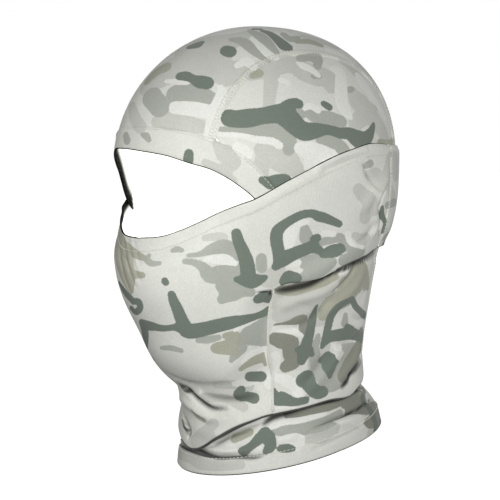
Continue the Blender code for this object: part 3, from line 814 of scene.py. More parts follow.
MASK_PRINT = {
    "light": (
        ((-33, -47, 1), (-24, -46, 1.6), (-20, -46.6, 1)), ((3, -73, 3), (9, -73, 5), (14, -69, 4)),
        ((-26, -142, 1.6), (-14, -141.4, 2), (-4, -143, 1.6)),
        ((-30, -174, 4), (-38, -178, 4), (-26, -166, 2)),
        ((-34, -150, 2), (-20, -151, 1.6), (-8, -156, 2)),
        ((63.6, -45.4, 1.4), (68, -48, 2.6), (71.4, -46.6, 1.8)),
        ((73, -6, 2), (77, -7, 4.4), (80.6, -13, 4.4), (86, -2, 4), (87, 5, 3.4), (90, -8, 2)),
        ((66, -16, 3), (72, -24, 4), (70, -34, 3)), ((75, -30, 1.4), (79, -24, 1.6)),
        ((86, -14, 2), (87.6, -20, 3)), ((89.6, 6, 2), (90.4, -4, 2)),
    ),
    "mid": (
        ((-44, -58.2, 0.3), (-36, -57.4, 0.8), (-29, -54.4, 2.4), (-21, -52.8, 3.8), (-15, -55, 3.2),
         (-13, -60, 1.6)),
        ((-46, -62, 0.8), (-40, -62.8, 1.2), (-34, -66, 2.4), (-30, -70.6, 4.2), (-22, -70.4, 4.8),
         (-12, -69, 4.6)),
        ((-21.6, -78, 3.4), (-17, -81, 6), (-9, -80.4, 4), (-3, -82, 1.8)),
        ((-22, -86.4, 2.2), (-16, -84.6, 2)), ((-54, -55.2, 0.4), (-51, -54.2, 1.1), (-47.4, -55, 0.4)),
        ((-69, -58.4, 0.6), (-70.2, -61, 1.3), (-67, -63.4, 1.1), (-62, -63.2, 0.4)),
        ((3.4, -60.4, 2.6), (3.6, -66, 2.6)),
        ((8, -99, 2.4), (4, -103, 4.6), (-2, -107, 4.8), (-6, -111, 3.6), (5, -111, 5), (9, -115, 2)),
        ((-9, -118, 2.4), (-14, -123, 1.8), (-16, -126, 0.6)),
        ((-37, -112.6, 1.2), (-31, -112.4, 1.7), (-24, -111, 0.9)),
        ((-61, -117.8, 0.4), (-55, -117.8, 1), (-48, -119.6, 0.6)),
        ((31.4, -41.4, 2.3), (32.4, -46.4, 3.8)),
        ((31, -63, 3), (38, -62, 4), (46, -62.4, 3), (37, -68, 4), (29, -73, 2.6)),
        ((41, -50, 1.6), (47, -48.4, 1.8), (54, -47, 2.3), (60, -53.4, 3), (67, -55, 2), (54, -61, 2.6)),
        ((71.2, -0.4, 1.2), (73.6, 1, 1.7)), ((84.4, -26, 1.4), (89, -24, 2)),
        ((85, -45, 1.4), (83.4, -47.6, 1)),
    ),
    "taupe": (
        ((-89, -38, 1.4), (-88, -48, 5), (-86, -60, 6), (-83, -72, 5), (-81, -80, 2)),
        ((-72, -60, 1), (-78, -57, 1.8), (-84, -52, 2), (-88, -48, 1)),
        ((-73, -71, 1), (-80, -70, 2), (-86, -66, 2.4)),
        ((-10, -131.6, 0.6), (-4, -127.4, 1.6), (3, -124.4, 2.3), (9, -124, 2.6)),
        ((-20, -110, 1), (-14, -111, 3.4), (-16, -116, 3.4), (-26, -118, 2.4), (-14, -120, 2)),
        ((-40, -158.6, 0.4), (-37, -161.6, 1.2), (-33, -164.2, 0.8)),
    ),
    "cream": (
        ((-33, -61, 0.8), (-26, -60.6, 2.4), (-19, -61, 2.8), (-13, -63.6, 1)),
        ((-14, -106.6, 0.5), (-6, -102.4, 0.9), (3, -97.4, 0.9), (8, -95.4, 0.6)),
        ((-9, -127, 0.8), (-3, -121.6, 1.4), (5, -118.4, 1.4), (9, -118.8, 1)),
        ((-14, -141, 1.4), (-5, -139.6, 2.6), (6, -134, 4), (9, -141, 3)),
        ((22.4, -40.4, 2), (20.6, -46, 2.8), (22, -51, 2.2), (26, -39, 2), (33, -36.6, 1)),
        ((21.4, -64.6, 1), (27, -62.8, 1.7)), ((43, -44, 1.4), (50, -44.4, 1.6)),
        ((59, -44.4, 1.7), (60.6, -50.4, 1.2), (68, -53, 0.8)), ((85, -33, 2.2), (85, -38, 2.2)),
    ),
    "dark": (
        ((-12.8, -44, 2.4), (-11.4, -49, 2.9), (-8.4, -56, 3.4), (-6, -63, 3.9), (-5, -70, 4.2)),
        ((-12.6, -73.6, 1.2), (-8, -74.4, 2.8), (-2.4, -74.8, 3.9), (3, -73.6, 2.4), (6, -72.4, 1)),
        ((-58.8, -74.6, 1.5), (-58.2, -75.6, 1.5)),
        ((-54.4, -83.4, 1.8), (-53, -87.6, 2.5), (-50.6, -93, 3), (-48, -99.6, 3.4), (-46, -104, 4)),
        ((-72, -103, 3.2), (-66, -104, 2.2), (-60, -105.2, 1.5), (-53, -104.6, 1.5), (-47.6, -104.8, 4),
         (-43, -107, 4.2), (-35, -106, 3.9), (-26, -103.8, 3.7), (-16, -101.4, 3.4), (-8, -99.6, 2.4),
         (0, -97.4, 1.5), (6, -95, 1.8), (8, -93.4, 1.8)),
        ((-73, -102, 2.4), (-71.6, -108, 2.4), (-71, -116, 2), (-68.4, -122, 0.8)),
        ((-79.4, -88, 1.4), (-75.6, -88, 1.5), (-74.6, -92, 1.5), (-77.4, -94.8, 1.4), (-80, -92.6, 1.5)),
        ((-88, -76, 0.8), (-84.4, -82, 1.8), (-80.4, -86.4, 1.8)),
        ((-66.6, -124.6, 1.6), (-64.8, -128, 2)), ((1, -86.4, 2.2), (5, -84.8, 3), (8, -85.4, 3)),
        ((-4, -136.2, 2.6), (3.4, -136.2, 2.7)),
        ((-9.4, -144.6, 2), (-11, -148.4, 3.2), (-5.4, -149.2, 2.5), (-1.4, -150.2, 2.8)),
        ((53.6, -38, 1.6), (50, -36.4, 1.9), (44, -34, 2.5), (40, -33, 2.6), (36, -31.2, 1.9),
         (30, -31.9, 1.9), (24, -34.6, 2), (18, -38.4, 2.3), (13.6, -43, 3.2), (13.2, -49, 3.3),
         (14.6, -56, 3.3), (15.4, -60, 3.8)),
        ((12.6, -65.4, 1.9), (16.6, -61.4, 3.8), (24, -57.4, 3.4), (31, -54.6, 3.2), (36.4, -53, 3),
         (41, -55, 2)),
        ((37.4, -48, 2.2), (39.4, -47, 2)), ((42.6, -57.4, 1.8), (48.6, -55.4, 3.2), (53.8, -53.4, 2.4)),
        ((17.4, -75, 2), (20.6, -72.6, 3.8), (25, -72.6, 2.9)),
        ((81.4, -27, 0.6), (81.4, -32, 1), (83, -37.4, 1.1), (81.4, -43, 0.8)),
    ),
}
FOOT_PRINT = {
    "light": (
        ((-44, -186, 3), (-36, -192, 3), (-24, -194, 2), (-10, -193, 2)),
        ((32, -176, 2), (42, -175, 3), (50, -170, 2.6)),
    ),
    "mid": (
        ((10, -172, 1), (20, -171, 3), (32, -169.6, 3.4), (44, -166.6, 3.2), (54, -161, 2.6)),
    ),
    "taupe": (
        ((-8, -174, 1.6), (-14, -176, 2), (-4, -172, 1.6)),
    ),
    "umber": (
        # Umber on the foot's right side is partly painted shade under and beside the rolled fold, partly
        # print.
        ((20, -161.6, 1.2), (32, -159.6, 2), (46, -155.6, 2.4), (58, -150, 2.4)),
        ((57, -154, 2.4), (66, -150, 4.6), (72, -145, 4.6), (73, -138, 3)),
        ((60, -157.4, 2.4), (68, -156.6, 4), (77, -157, 4.6), (79, -164, 4), (73, -166, 3)),
    ),
    "cream": (
        ((-24, -184.4, 1.6), (-16, -182, 2), (-13, -184.6, 1.8)), ((-1, -184.6, 2), (2, -182, 1.4)),
        ((16, -177, 1.4), (22, -176.4, 2.6), (28, -177, 3), (27, -181.6, 2)),
        ((10, -168.6, 1.4), (18, -165.6, 1.6), (28, -164.6, 1.6), (40, -161.6, 1), (44, -160.6, 0.6)),
        ((52, -165, 1.6), (58, -163.4, 2.4), (66, -165, 2.6), (68, -167, 1.6)),
    ),
    "dark": (
        ((-8, -184.6, 2.4), (-3, -181, 2), (2, -176.4, 2.8), (6, -172.6, 3.2)),
        ((8, -175, 3.6), (9, -181, 3.2), (6.4, -184.4, 1.6)),
        ((16, -182.6, 1.8), (21, -182.4, 2), (24, -182.6, 1)),
    ),
}

# Folds: height, width, steepness of the right-hand side (below 1 is steeper), then points
# (across, up), all in millimetres. A negative height is a crease, whose depth also paints
# shade into the cloth's colour.
MASK_FOLDS = (
    # ribs where the cloth is stretched over the cheekbone
    (-0.7, 0.9, 1.0, [(-88, -50), (-87, -62), (-84, -74), (-80, -84)]),
    (-0.6, 0.9, 1.0, [(-85, -46), (-84, -58), (-81, -70), (-77, -80)]),
    (-0.5, 0.9, 1.0, [(-82, -45), (-80.6, -56), (-78, -67), (-74, -76)]),
    (-0.4, 0.9, 1.0, [(-78.6, -46), (-77, -56), (-74.6, -65)]),
    # band: soft crease towards the back seam, puckers under its upper hem, lifted lower edge
    (-1.7, 1.8, 0.7, [(84, -12), (81.6, -19), (79, -28), (80.6, -35), (79, -42)]),
    (1.6, 3.6, 1.0, [(84, -8), (79, -18), (76, -28), (77, -38), (75, -46)]),
    (1.6, 5.0, 1.0, [(86, -4), (80, -12), (74, -20), (69, -30)]),
    (-1.3, 1.8, 0.7, [(69, 2), (71, -5), (75, -12), (79, -17)]),
    (-1.2, 1.6, 0.8, [(42, -4), (52, 0.5), (61, 4), (70, 5.5)]),
    (1.2, 3.2, 1.0, [(30, -5), (44, 1), (58, 7), (72, 11)]),
    (-0.9, 2.6, 1.0, [(78, -36), (72, -45), (64, -52)]),
    (1.3, 5.0, 1.0, [(70, -52), (55, -58), (40, -66), (24, -74)]),
    # chin and throat
    (-2.6, 2.6, 0.5, [(-50, -141), (-45, -144.5), (-40, -150), (-33, -155.6), (-27, -158), (-18, -158)]),
    (1.8, 3.2, 1.0, [(-49, -150), (-42, -155), (-34, -161), (-24, -164), (-10, -162)]),
    (-1.5, 3.0, 1.0, [(-36, -147), (-26, -150), (-12, -151), (2, -148)]),
    (-1.0, 1.6, 0.6, [(-41, -157), (-37, -162), (-31, -165)]),
    (-1.6, 1.6, 0.7, [(-47, -161), (-45, -166), (-43, -172), (-44, -176)]),
    (1.0, 3.4, 1.0, [(-40, -170), (-26, -174), (-12, -168), (2, -160)]),
    (-1.0, 3.2, 1.0, [(-60, -133), (-48, -139), (-34, -142), (-16, -141)]),
    (-0.9, 1.6, 0.7, [(-30, -181), (-24, -177), (-14, -173)]),
)
SIDE_FOLDS = (
    # the fold, with painted shade, that the band's lower edge hangs over
    (-2.2, 1.9, 1.0, [(6, -82), (14, -81.6), (24, -80.4), (35, -78), (42, -74.4), (48, -71), (61, -63),
                      (72, -57.4), (80, -53.4), (88, -50)]),
    (-2.0, 3.2, 1.0, [(60, -64), (68, -61.5), (76, -57.5), (86, -52)]),
    # long soft folds that fan down and forwards from under the band
    (1.5, 4.0, 1.0, [(62, -60), (54, -73), (42, -82), (26, -87), (14, -92)]),
    (-1.5, 1.8, 0.8, [(66, -61), (62, -69), (56, -76), (50, -81)]),
    (-1.0, 3.4, 1.0, [(50, -68), (38, -76), (24, -81), (14, -84)]),
    (1.2, 4.0, 1.0, [(70, -66), (64, -78), (54, -88), (44, -96)]),
    (-0.9, 3.0, 1.0, [(48, -86), (38, -96), (28, -103), (12, -106)]),
    # the pinch above the foot, at the back of the neck
    (-2.8, 2.0, 0.7, [(72, -110), (69.6, -117), (66, -126), (61, -132), (58, -137)]),
    (1.8, 3.6, 1.0, [(66, -112), (64, -122), (59, -131), (52, -139)]),
    (-1.1, 1.8, 0.8, [(72, -97), (67, -99), (62, -98)]),
    (-0.9, 1.8, 1.0, [(70, -105), (62, -112), (52, -117)]),
    (-0.8, 3.0, 1.0, [(44, -122), (38, -132), (30, -142)]),
    (0.9, 3.4, 1.0, [(54, -118), (48, -130), (38, -142), (26, -150)]),
)
FOOT_FOLDS = (
    # the creases under the rolled fold, whose depth paints the shade there
    (-1.5, 1.5, 1.0, [(-34, -183), (-28, -180.6), (-18, -175.4), (-8, -172), (2, -168)]),
    (-3.4, 1.7, 1.0, [(3, -168), (11, -162.6), (25, -158), (41, -152), (57, -147.2),
                      (68, -141.4), (75, -135)]),
    # folds of the gathered foot
    (-1.9, 1.6, 0.7, [(26, -175), (32, -172), (48, -164.8), (64, -158), (75, -150), (80, -144)]),
    (1.2, 2.8, 1.0, [(14, -169), (28, -165), (42, -160.5), (54, -155)]),
    (1.4, 2.6, 1.0, [(10, -178), (24, -175), (40, -171), (58, -165), (72, -159)]),
    (-1.0, 1.6, 0.7, [(36, -184), (50, -177), (64, -170), (76, -163)]),
    (-2.6, 1.9, 0.7, [(-50, -177), (-47, -179.4), (-36, -184.6), (-25, -188.4), (-13, -188), (-2, -188.6),
                      (6, -187)]),
    (1.6, 2.4, 1.0, [(-46, -175), (-36, -180), (-24, -184), (-10, -184), (4, -181)]),
    (1.8, 3.0, 1.0, [(70, -134), (74, -139), (75, -146)]),
)

# Painted shade in the narrow gaps between cloths: strength, width, then points.
MASK_SHADES = (
    (4.6, 0.8, [(0, -81.6), (6, -81.2), (13, -80.6), (20, -79)]),
    (1.5, 0.8, [(-87.6, -36), (-83, -44), (-78, -52), (-75, -60)]),
    (1.6, 0.8, [(-89, -43), (-84, -51), (-79, -60), (-76, -68)]),
    (1.7, 0.8, [(-89.4, -50), (-85, -58), (-80, -67), (-77, -75)]),
    (1.6, 0.8, [(-89, -57), (-85.6, -65), (-81, -74), (-78, -81)]),
    (1.4, 0.8, [(-88, -65), (-85, -72), (-82, -79)]),
    (4.0, 1.3, [(-50, -141), (-46, -145), (-40, -149)]),
    (4.4, 1.1, [(-48, -163), (-46, -169), (-43, -174)]),
    (3.4, 1.0, [(84, -13), (81.6, -20), (79, -28), (80.6, -35), (79, -42), (79.6, -49)]),
)
SIDE_SHADES = (
    (5.0, 1.2, [(13, -80.6), (20, -79), (30, -77.6), (37, -76.2), (44.5, -73.2), (54, -68), (62, -64.6),
                (70, -62), (77, -59)]),
    (5.0, 2.6, [(62, -62.6), (70, -59.6), (77, -57)]),
    (3.6, 0.8, [(62, -62), (60.6, -67), (57, -72), (51, -78.4), (47, -82)]),
    (5.0, 2.0, [(68, -126), (64, -131), (60, -134.6), (58, -139), (54, -144)]),
)
FOOT_SHADES = (
    (5.0, 1.5, [(8, -163.6), (14, -160.8), (28, -157), (38, -154), (51, -151), (59, -148),
                (70, -141), (76, -135)]),
    (1.8, 0.9, [(-28, -180.4), (-20, -175), (-7, -169.6), (4, -166), (12, -162)]),
    (3.8, 0.9, [(48, -165), (54, -162.4), (64, -158), (75, -150), (80, -145)]),
    (5.0, 1.0, [(-50, -179), (-48, -181), (-42.6, -183.8), (-33, -187), (-23, -189), (-13.5, -188.4),
                (-5, -188.4)]),
)


# ---- the neck's fold and the foot below it ----
NECK_AXIS_Y = 0.012
# Height of the rolled fold by angle round the neck, positive to the wearer's left.
FOLD_EDGE = (
    (-180, -0.1295), (-149, -0.1295), (-130, -0.136), (-110, -0.1445), (-90, -0.150),
    (-70, -0.154), (-50, -0.160), (-30, -0.170), (-10, -0.178), (0, -0.1785), (8, -0.1755),
    (18, -0.169), (30, -0.162), (40, -0.158), (51, -0.1545), (70, -0.151), (90, -0.147),
    (108, -0.146), (120, -0.1415), (135, -0.1375), (149, -0.1295), (180, -0.1295),
)
ROLL_RADIUS = 0.0019
ROLL_BULGE = 0.0020
ROLL_RETURN = 0.007
ROLL_ROWS = 10      # rows of points in the part that turns under


def around(points):
    """Angle of each point round the neck in degrees."""
    return np.degrees(np.arctan2(points[..., 0], NECK_AXIS_Y - points[..., 1]))


def swollen(points, above):
    """Points moved outwards where they are just above the rolled edge."""
    return points + outward_of(points) * (ROLL_BULGE * fade(above, 0, 0.014))[..., None]


def rolled(grid):
    """A grid whose bottom edge swells, turns under and runs back up inside."""
    outward = outward_of(grid[-1])
    grid = swollen(grid, grid[:, :, 2] - grid[-1:, :, 2])
    edge = grid[-1]
    extra = []
    for turn in np.radians(np.arange(30, 181, 30)):
        down = np.array([0.0, 0.0, -sin(turn) * ROLL_RADIUS])
        extra.append(edge - outward * (1 - cos(turn)) * ROLL_RADIUS + down)
    for rise in np.linspace(0, ROLL_RETURN, 5)[1:]:
        extra.append(edge - outward * (2 * ROLL_RADIUS + 0.08 * rise) + np.array([0.0, 0.0, rise]))
    return np.concatenate([grid, np.array(extra)])


# ---- the cloths ----
def strip_runs():
    """Stations of the crown strip, over the dome and then down the back."""
    return np.concatenate([spaced(0, 1, 0.27), spaced(1, 2, 0.13)[1:]])


def crown_cloth():
    runs = strip_runs()[:, None]
    edge = 1 - SEAM_GAP / strip_half_width(runs)
    across = spaced(-1, 1, 0.095)[None, :]
    return Cloth(rolled(strip(across * edge, runs)))


def between(front, rear, s, axis):
    """One coordinate of a grid whose rows run from a front edge to a rear one."""
    return front[:, None, axis] + (rear[:, None, axis] - front[:, None, axis]) * s


def side_grid():
    """From the brow hem and the throat seam at the front to the crown seam at the back."""
    # The rear edge: over the dome, then down the back, a little denser behind the brow.
    over = np.linspace(0, 1, 21)
    stations = np.concatenate([[0.4 * over[1]], over[1:], np.linspace(1, 2, 15)[1:]])
    t = spaced(0, 1, 0.25)
    run = np.interp(t * (len(stations) - 1), np.arange(len(stations)), stations)
    rear = strip(1 + SEAM_GAP / strip_half_width(run), run)
    front = [ring(HOOD_SECTIONS, angle, z) for angle, z in SIDE_FRONT]
    seam_top = NECK_SEAM[-1][0]
    for z in np.linspace(seam_top, fold_at(NECK_SEAM_ANGLE), 30):
        front.append(under_seam(z))
    front = resampled(np.array(front), t)
    s = spaced(0, 1, 0.135)[None, :]
    y = between(front, rear, s, 1)
    z = between(front, rear, s, 2)
    # The bottom row bends to the rolled fold's height.
    z = z + t[:, None] ** 8 * (fold_at(around(side_surface(y[-1], z[-1]))) - z[-1])
    neck = t > t[np.argmax(front[:, 2] < seam_top)]
    front[neck] = under_seam(z[neck, 0])
    grid = side_surface(between(front, rear, s, 1), z)
    grid[:, 0] = front
    grid[:, -1] = rear
    grid[:, -1, 2] = z[:, -1]
    behind = np.linalg.norm(grid - grid[:, :1], axis=-1)
    sunk = SEAM_SINK * fade(behind, 0, SEAM_SINK_REACH)
    return grid - outward_of(grid) * sunk[..., None]


def under_seam(height):
    """Where the side panel's front edge runs on under the throat's edge."""
    return ring(HOOD_SECTIONS, smooth(NECK_SEAM, height) - SEAM_UNDERLAP, height)


def fold_at(angle):
    return smooth(FOLD_EDGE, angle)


def resampled(points, t):
    """Points at shares t of the way along a line."""
    lengths = lengths_along(points)
    return at_lengths(points, lengths, t * lengths[-1])


def brow_hem_cloth():
    t = spaced(-1, 1, 0.26)[None, :]
    low = t * EYE_TOP[-1][0]
    high = t * BROW_LINE[-1][0]
    low_z = smooth(EYE_TOP, low)
    high_z = smooth(BROW_LINE, np.abs(high))
    s = spaced(0, 1, 0.014)[:, None]
    grid = ring(HOOD_SECTIONS, low + (high - low) * s, low_z + (high_z - low_z) * s)
    cloth = Cloth(grid)
    cloth.push(HEM_RISE * np.ones(grid.shape[:2]) * (1 - 0.7 * grow(s, 0.9, 1.0)))
    return cloth


def wing_foot(turn):
    corner, height = SEAM_CORNER
    off = height - smooth(MASK_FOOT, corner)
    return smooth(MASK_FOOT, turn) + off * fade(turn, corner, corner + 6)


def mask_columns():
    corner = SEAM_CORNER[0]
    side = spaced(corner, WING_END, 0.088)
    return np.concatenate([-side[::-1], spaced(-corner, corner, 0.19)[1:-1], side])


def mask_cloth():
    """Nose, mouth, chin and throat in one cloth, with two wings that reach the back seams."""
    corner, join = SEAM_CORNER
    angle = mask_columns()[None, :]
    turn = np.abs(angle)
    top = mask_top(angle) - MASK_HEM + HEM_OVERLAP
    foot = np.where(turn <= corner, join, wing_foot(turn))
    s = spaced(0, 1, 0.062)[:, None]
    wings = mask_surface(angle, top + (foot - top) * s)
    share = np.clip(angle / corner, -1, 1)
    t = spaced(0, 1, 0.098)[1:, None]
    seam = np.where(share < 0, fold_at(-NECK_SEAM_ANGLE), fold_at(NECK_SEAM_ANGLE))
    spread = smooth(NECK_SEAM, join + (seam - join) * t)
    height = join + (fold_at(share * NECK_SEAM_ANGLE) - join) * t
    throat = mask_surface(share * np.minimum(spread, corner), height)
    grid = np.concatenate([wings, rolled(throat)])
    keep = np.ones((grid.shape[0] - 1, grid.shape[1] - 1), bool)
    outside = np.abs(angle[0, :-1] + angle[0, 1:]) / 2 > corner
    keep[len(wings) - 1:, outside] = False
    cloth = Cloth(grid, keep)
    rows = len(wings)
    amount = np.zeros(grid.shape[:2])
    amount[:rows] = band_edge(turn, wings[..., 2] - foot)
    cloth.push(amount)
    return cloth, rows


def band_edge(turn, above):
    """How far the band's lower edge stands out at the sides and tucks in behind the head."""
    at_side = grow(turn, 68, 84) * fade(turn, 96, 116)
    behind = grow(turn, 106, 122)
    return BAND_LIFT * fade(above, 0, 0.016) * at_side - BAND_TUCK * fade(above, 0, 0.012) * behind


def mask_hem_cloth():
    angle = mask_columns()[None, :]
    s = spaced(0, 1, MASK_HEM)[:, None]
    cloth = Cloth(mask_surface(angle, mask_top(angle) - MASK_HEM * s))
    hug = EDGE_HUG * fade(s, 0, 0.5) * grow(np.abs(angle), 52, 66)
    cloth.push(HEM_RISE * (1 - 0.6 * grow(s, 0.6, 1.0)) - hug)
    return cloth


def back_band_cloth():
    start = WING_END + BACK_GAP
    angle = spaced(start, 360 - start, 0.15)[None, :]
    turn = 180 - np.abs(angle - 180)
    s = spaced(0, 1, 0.065)[:, None]
    top = smooth(MASK_TOP, turn)
    height = top + (smooth(MASK_FOOT, turn) - top) * s
    cloth = Cloth(mask_surface(angle, height))
    hug = EDGE_HUG * fade(s, 0, 0.06)
    cloth.push(band_edge(turn, height - smooth(MASK_FOOT, turn)) - hug)
    return cloth


def foot_ends(angle):
    """Heights of the foot just above the fold, which covers it there, and at its bottom edge."""
    signed = np.where(angle > 180, angle - 360, angle)
    return fold_at(signed) + FOOT_TUCK, FOOT_BOTTOM - FOOT_SLANT * np.cos(np.radians(angle))


def foot_surface(angle, share, out=0.0):
    """The gathered foot: share 0 to 1 from the fold to the bottom edge, below 0 a sleeve."""
    angle, share = np.broadcast_arrays(angle, share)
    fold, low = foot_ends(angle)
    height = np.where(share > 0, fold + (low - fold) * share, fold - SLEEVE_OVERLAP * share)
    share_out = smooth(FLARE_SHARE, np.maximum(share, 0))
    out = out - SLEEVE_INSET * fade(share, -0.3, 0)
    reach = [size + flare * share_out + out for size, flare in zip(FOOT_SECTION, FOOT_FLARE)]
    return on_ellipse(angle, height, *reach, FOOT_SECTION[3])


def foot_angles():
    return spaced(0, 360, 0.40)[None, :-1]


def foot_cloth():
    angle = foot_angles()
    fold, low = foot_ends(angle)
    lowest = 1 - NECK_HEM / (fold - low)
    sleeve = spaced(-1, 0, SLEEVE_OVERLAP)[:, None] + 0 * angle
    below = spaced(0, 1, 0.032)[1:, None] * lowest
    return Cloth(foot_surface(angle, np.concatenate([sleeve, below])), wrap=True)


def neck_hem_cloth():
    angle = foot_angles()
    fold, low = foot_ends(angle)
    share = 1 - NECK_HEM * (1 - spaced(0, 1, NECK_HEM)[:, None]) / (fold - low)
    return Cloth(foot_surface(angle, share, NECK_HEM_RISE), wrap=True)


def seam_tape(line, mirror, half):
    """A narrow rounded strip along a seam, from its centre points and unit vectors across it."""
    centre, sideways = line[0] * mirror, line[1] * mirror
    part = np.linspace(-1, 1, 7)
    grid = centre[:, None, :] + sideways[:, None, :] * (part * half)[None, :, None]
    cloth = Cloth(grid)
    cloth.push((SEAM_RISE * (1 - 0.85 * part**4))[None, :] * np.ones(grid.shape[:2]))
    return cloth


def crown_seam_line():
    """Centre line and sideways vectors of the crown seam at the wearer's left."""
    run = strip_runs()
    aside = 0.002 / strip_half_width(run)
    centre = strip(1.0 + 0 * run, run)
    sideways = strip(1 + aside, run) - strip(1 - aside, run)
    return centre, sideways / np.linalg.norm(sideways, axis=1, keepdims=True)


def level_seam_line(sections, angle, height):
    """Centre line and sideways vectors of a seam at these angles round the head."""
    centre = ring(sections, angle, height)
    sideways = ring(sections, angle + 1, height) - ring(sections, angle - 1, height)
    return centre, sideways / np.linalg.norm(sideways, axis=1, keepdims=True)


def neck_seam_line(fold):
    height = spaced(NECK_SEAM_TOP, fold + 0.001, 0.1)
    angle = smooth(NECK_SEAM, height) + SEAM_SHIFT
    centre, sideways = level_seam_line(HOOD_SECTIONS, angle, height)
    return swollen(centre, height - fold), sideways


def back_seam_line():
    height = spaced(*BACK_SEAM_ENDS, 0.065)
    return level_seam_line(MASK_SECTIONS, WING_END + BACK_GAP / 2 + 0 * height, height)


# ---- sewing thread ----
STITCH_PITCH = 0.0026   # from the start of one cover stitch to the next
STITCH_COVER = 0.72     # share of the pitch that thread covers
STITCH_LIFT = 0.00035
STITCH_DIP = 0.0004
ZIGZAG_PITCH = 0.0011   # between two crossings of a seam
ZIGZAG_REACH = 0.82     # share of the seam's half width that the thread reaches
ZIGZAG_LIFT = 0.0003


def even_path(points, normals, pitch):
    """The same line at points a pitch apart, with unit normals."""
    lengths = lengths_along(points)
    at = np.arange(int(lengths[-1] / pitch) + 1) * pitch
    up = at_lengths(normals, lengths, at)
    return at_lengths(points, lengths, at), up / np.linalg.norm(up, axis=1, keepdims=True)


def thread_mesh(name, paths, normals, radius, material, sides=6):
    """Closed tubes along paths that all have the same number of points."""
    tangent = np.gradient(paths, axis=1)
    tangent /= np.linalg.norm(tangent, axis=-1, keepdims=True)
    binormal = np.cross(tangent, normals)
    binormal /= np.linalg.norm(binormal, axis=-1, keepdims=True)
    normal = np.cross(binormal, tangent)
    turn = 2 * np.pi * np.arange(sides) / sides
    circle = (
        normal[:, :, None, :] * np.cos(turn)[None, None, :, None]
        + binormal[:, :, None, :] * np.sin(turn)[None, None, :, None]
    )
    points = paths[:, :, None, :] + circle * radius
    count, length = paths.shape[:2]
    number = np.arange(count * length * sides).reshape(count, length, sides)
    after = np.roll(number, -1, axis=2)
    walls = np.stack([number[:, :-1], after[:, :-1], after[:, 1:], number[:, 1:]], -1)
    faces = walls.reshape(-1, 4).tolist()
    faces += number[:, 0, ::-1].tolist()
    faces += number[:, -1].tolist()
    return link(name, new_mesh(name, points.reshape(-1, 3), faces, [material]))


def stitches(points, normals):
    """Short running stitches that dip into the cloth at both ends."""
    place, up = even_path(points, normals, STITCH_PITCH)
    start = place[:-1]
    along = (place[1:] - place[:-1]) * STITCH_COVER
    lifts = (-STITCH_DIP, STITCH_LIFT * 0.8, STITCH_LIFT, STITCH_LIFT * 0.8, -STITCH_DIP)
    shares = (0.0, 0.14, 0.5, 0.86, 1.0)
    paths = [start + along * share + up[:-1] * rise for share, rise in zip(shares, lifts)]
    return np.stack(paths, 1), np.stack([up[:-1]] * len(shares), 1)


def zigzag(points, sideways, normals, reach):
    """One thread that crosses a seam from side to side."""
    place, across = even_path(points, sideways, ZIGZAG_PITCH)
    _, up = even_path(points, normals, ZIGZAG_PITCH)
    side = np.where(np.arange(len(place)) % 2 == 0, 1.0, -1.0)[:, None]
    ends = place + across * side * reach
    middle = (ends[:-1] + ends[1:]) / 2
    path = np.empty((2 * len(ends) - 1, 3))
    path[0::2] = ends + up * ZIGZAG_LIFT * 0.4
    path[1::2] = middle + up[:-1] * ZIGZAG_LIFT
    normal = np.empty_like(path)
    normal[0::2] = up
    normal[1::2] = up[:-1]
    return path[None], normal[None]


# ---- materials ----
def colour(red, green, blue):
    """A display colour, 0 to 255, as the linear values that shaders take."""
    value = np.array([red, green, blue]) / 255
    linear = np.where(value <= 0.04045, value / 12.92, ((value + 0.055) / 1.055) ** 2.4)
    return (*linear.tolist(), 1.0)


GROUND = colour(226, 227, 219)
INK_COLOURS = {
    "light": colour(206, 207, 199),
    "mid": colour(178, 181, 172),
    "taupe": colour(176, 177, 160),
    "umber": colour(146, 148, 136),
    "cream": colour(236, 237, 230),
    "dark": colour(119, 129, 118),
}
# The knit's white back, and the colour of its painted glow.
INSIDE = colour(240, 240, 237)
# Painted shade in the grooves of the knit's back.
INSIDE_GROOVE = colour(228, 228, 224)
THREAD = colour(232, 232, 224)
# Painted shade in the thread's twist.
THREAD_GROOVE = colour(205, 206, 197)
# Painted shade, near black, at a hem's edge and inside it.
HEM_EDGE_SHADE = colour(14, 14, 13)
WALE = 0.0011       # distance between two wales of the knit
COURSE = 0.0008     # distance between two courses
KNIT_DEPTH = 0.0003
TWIST_DEPTH = 0.0002
WHITE = (1.0, 1.0, 1.0, 1.0)
PAPER = (0.85, 0.85, 0.85, 1.0)
PAPER_DARK = (0.8245, 0.8245, 0.8245, 1.0)
NECK_PAINTED_SHADE = 0.82    # share of the print's lightness that painted shade leaves at the bottom of the neck
CROWN_PAINTED_SHADE = 0.90   # and on the crown, also painted shade
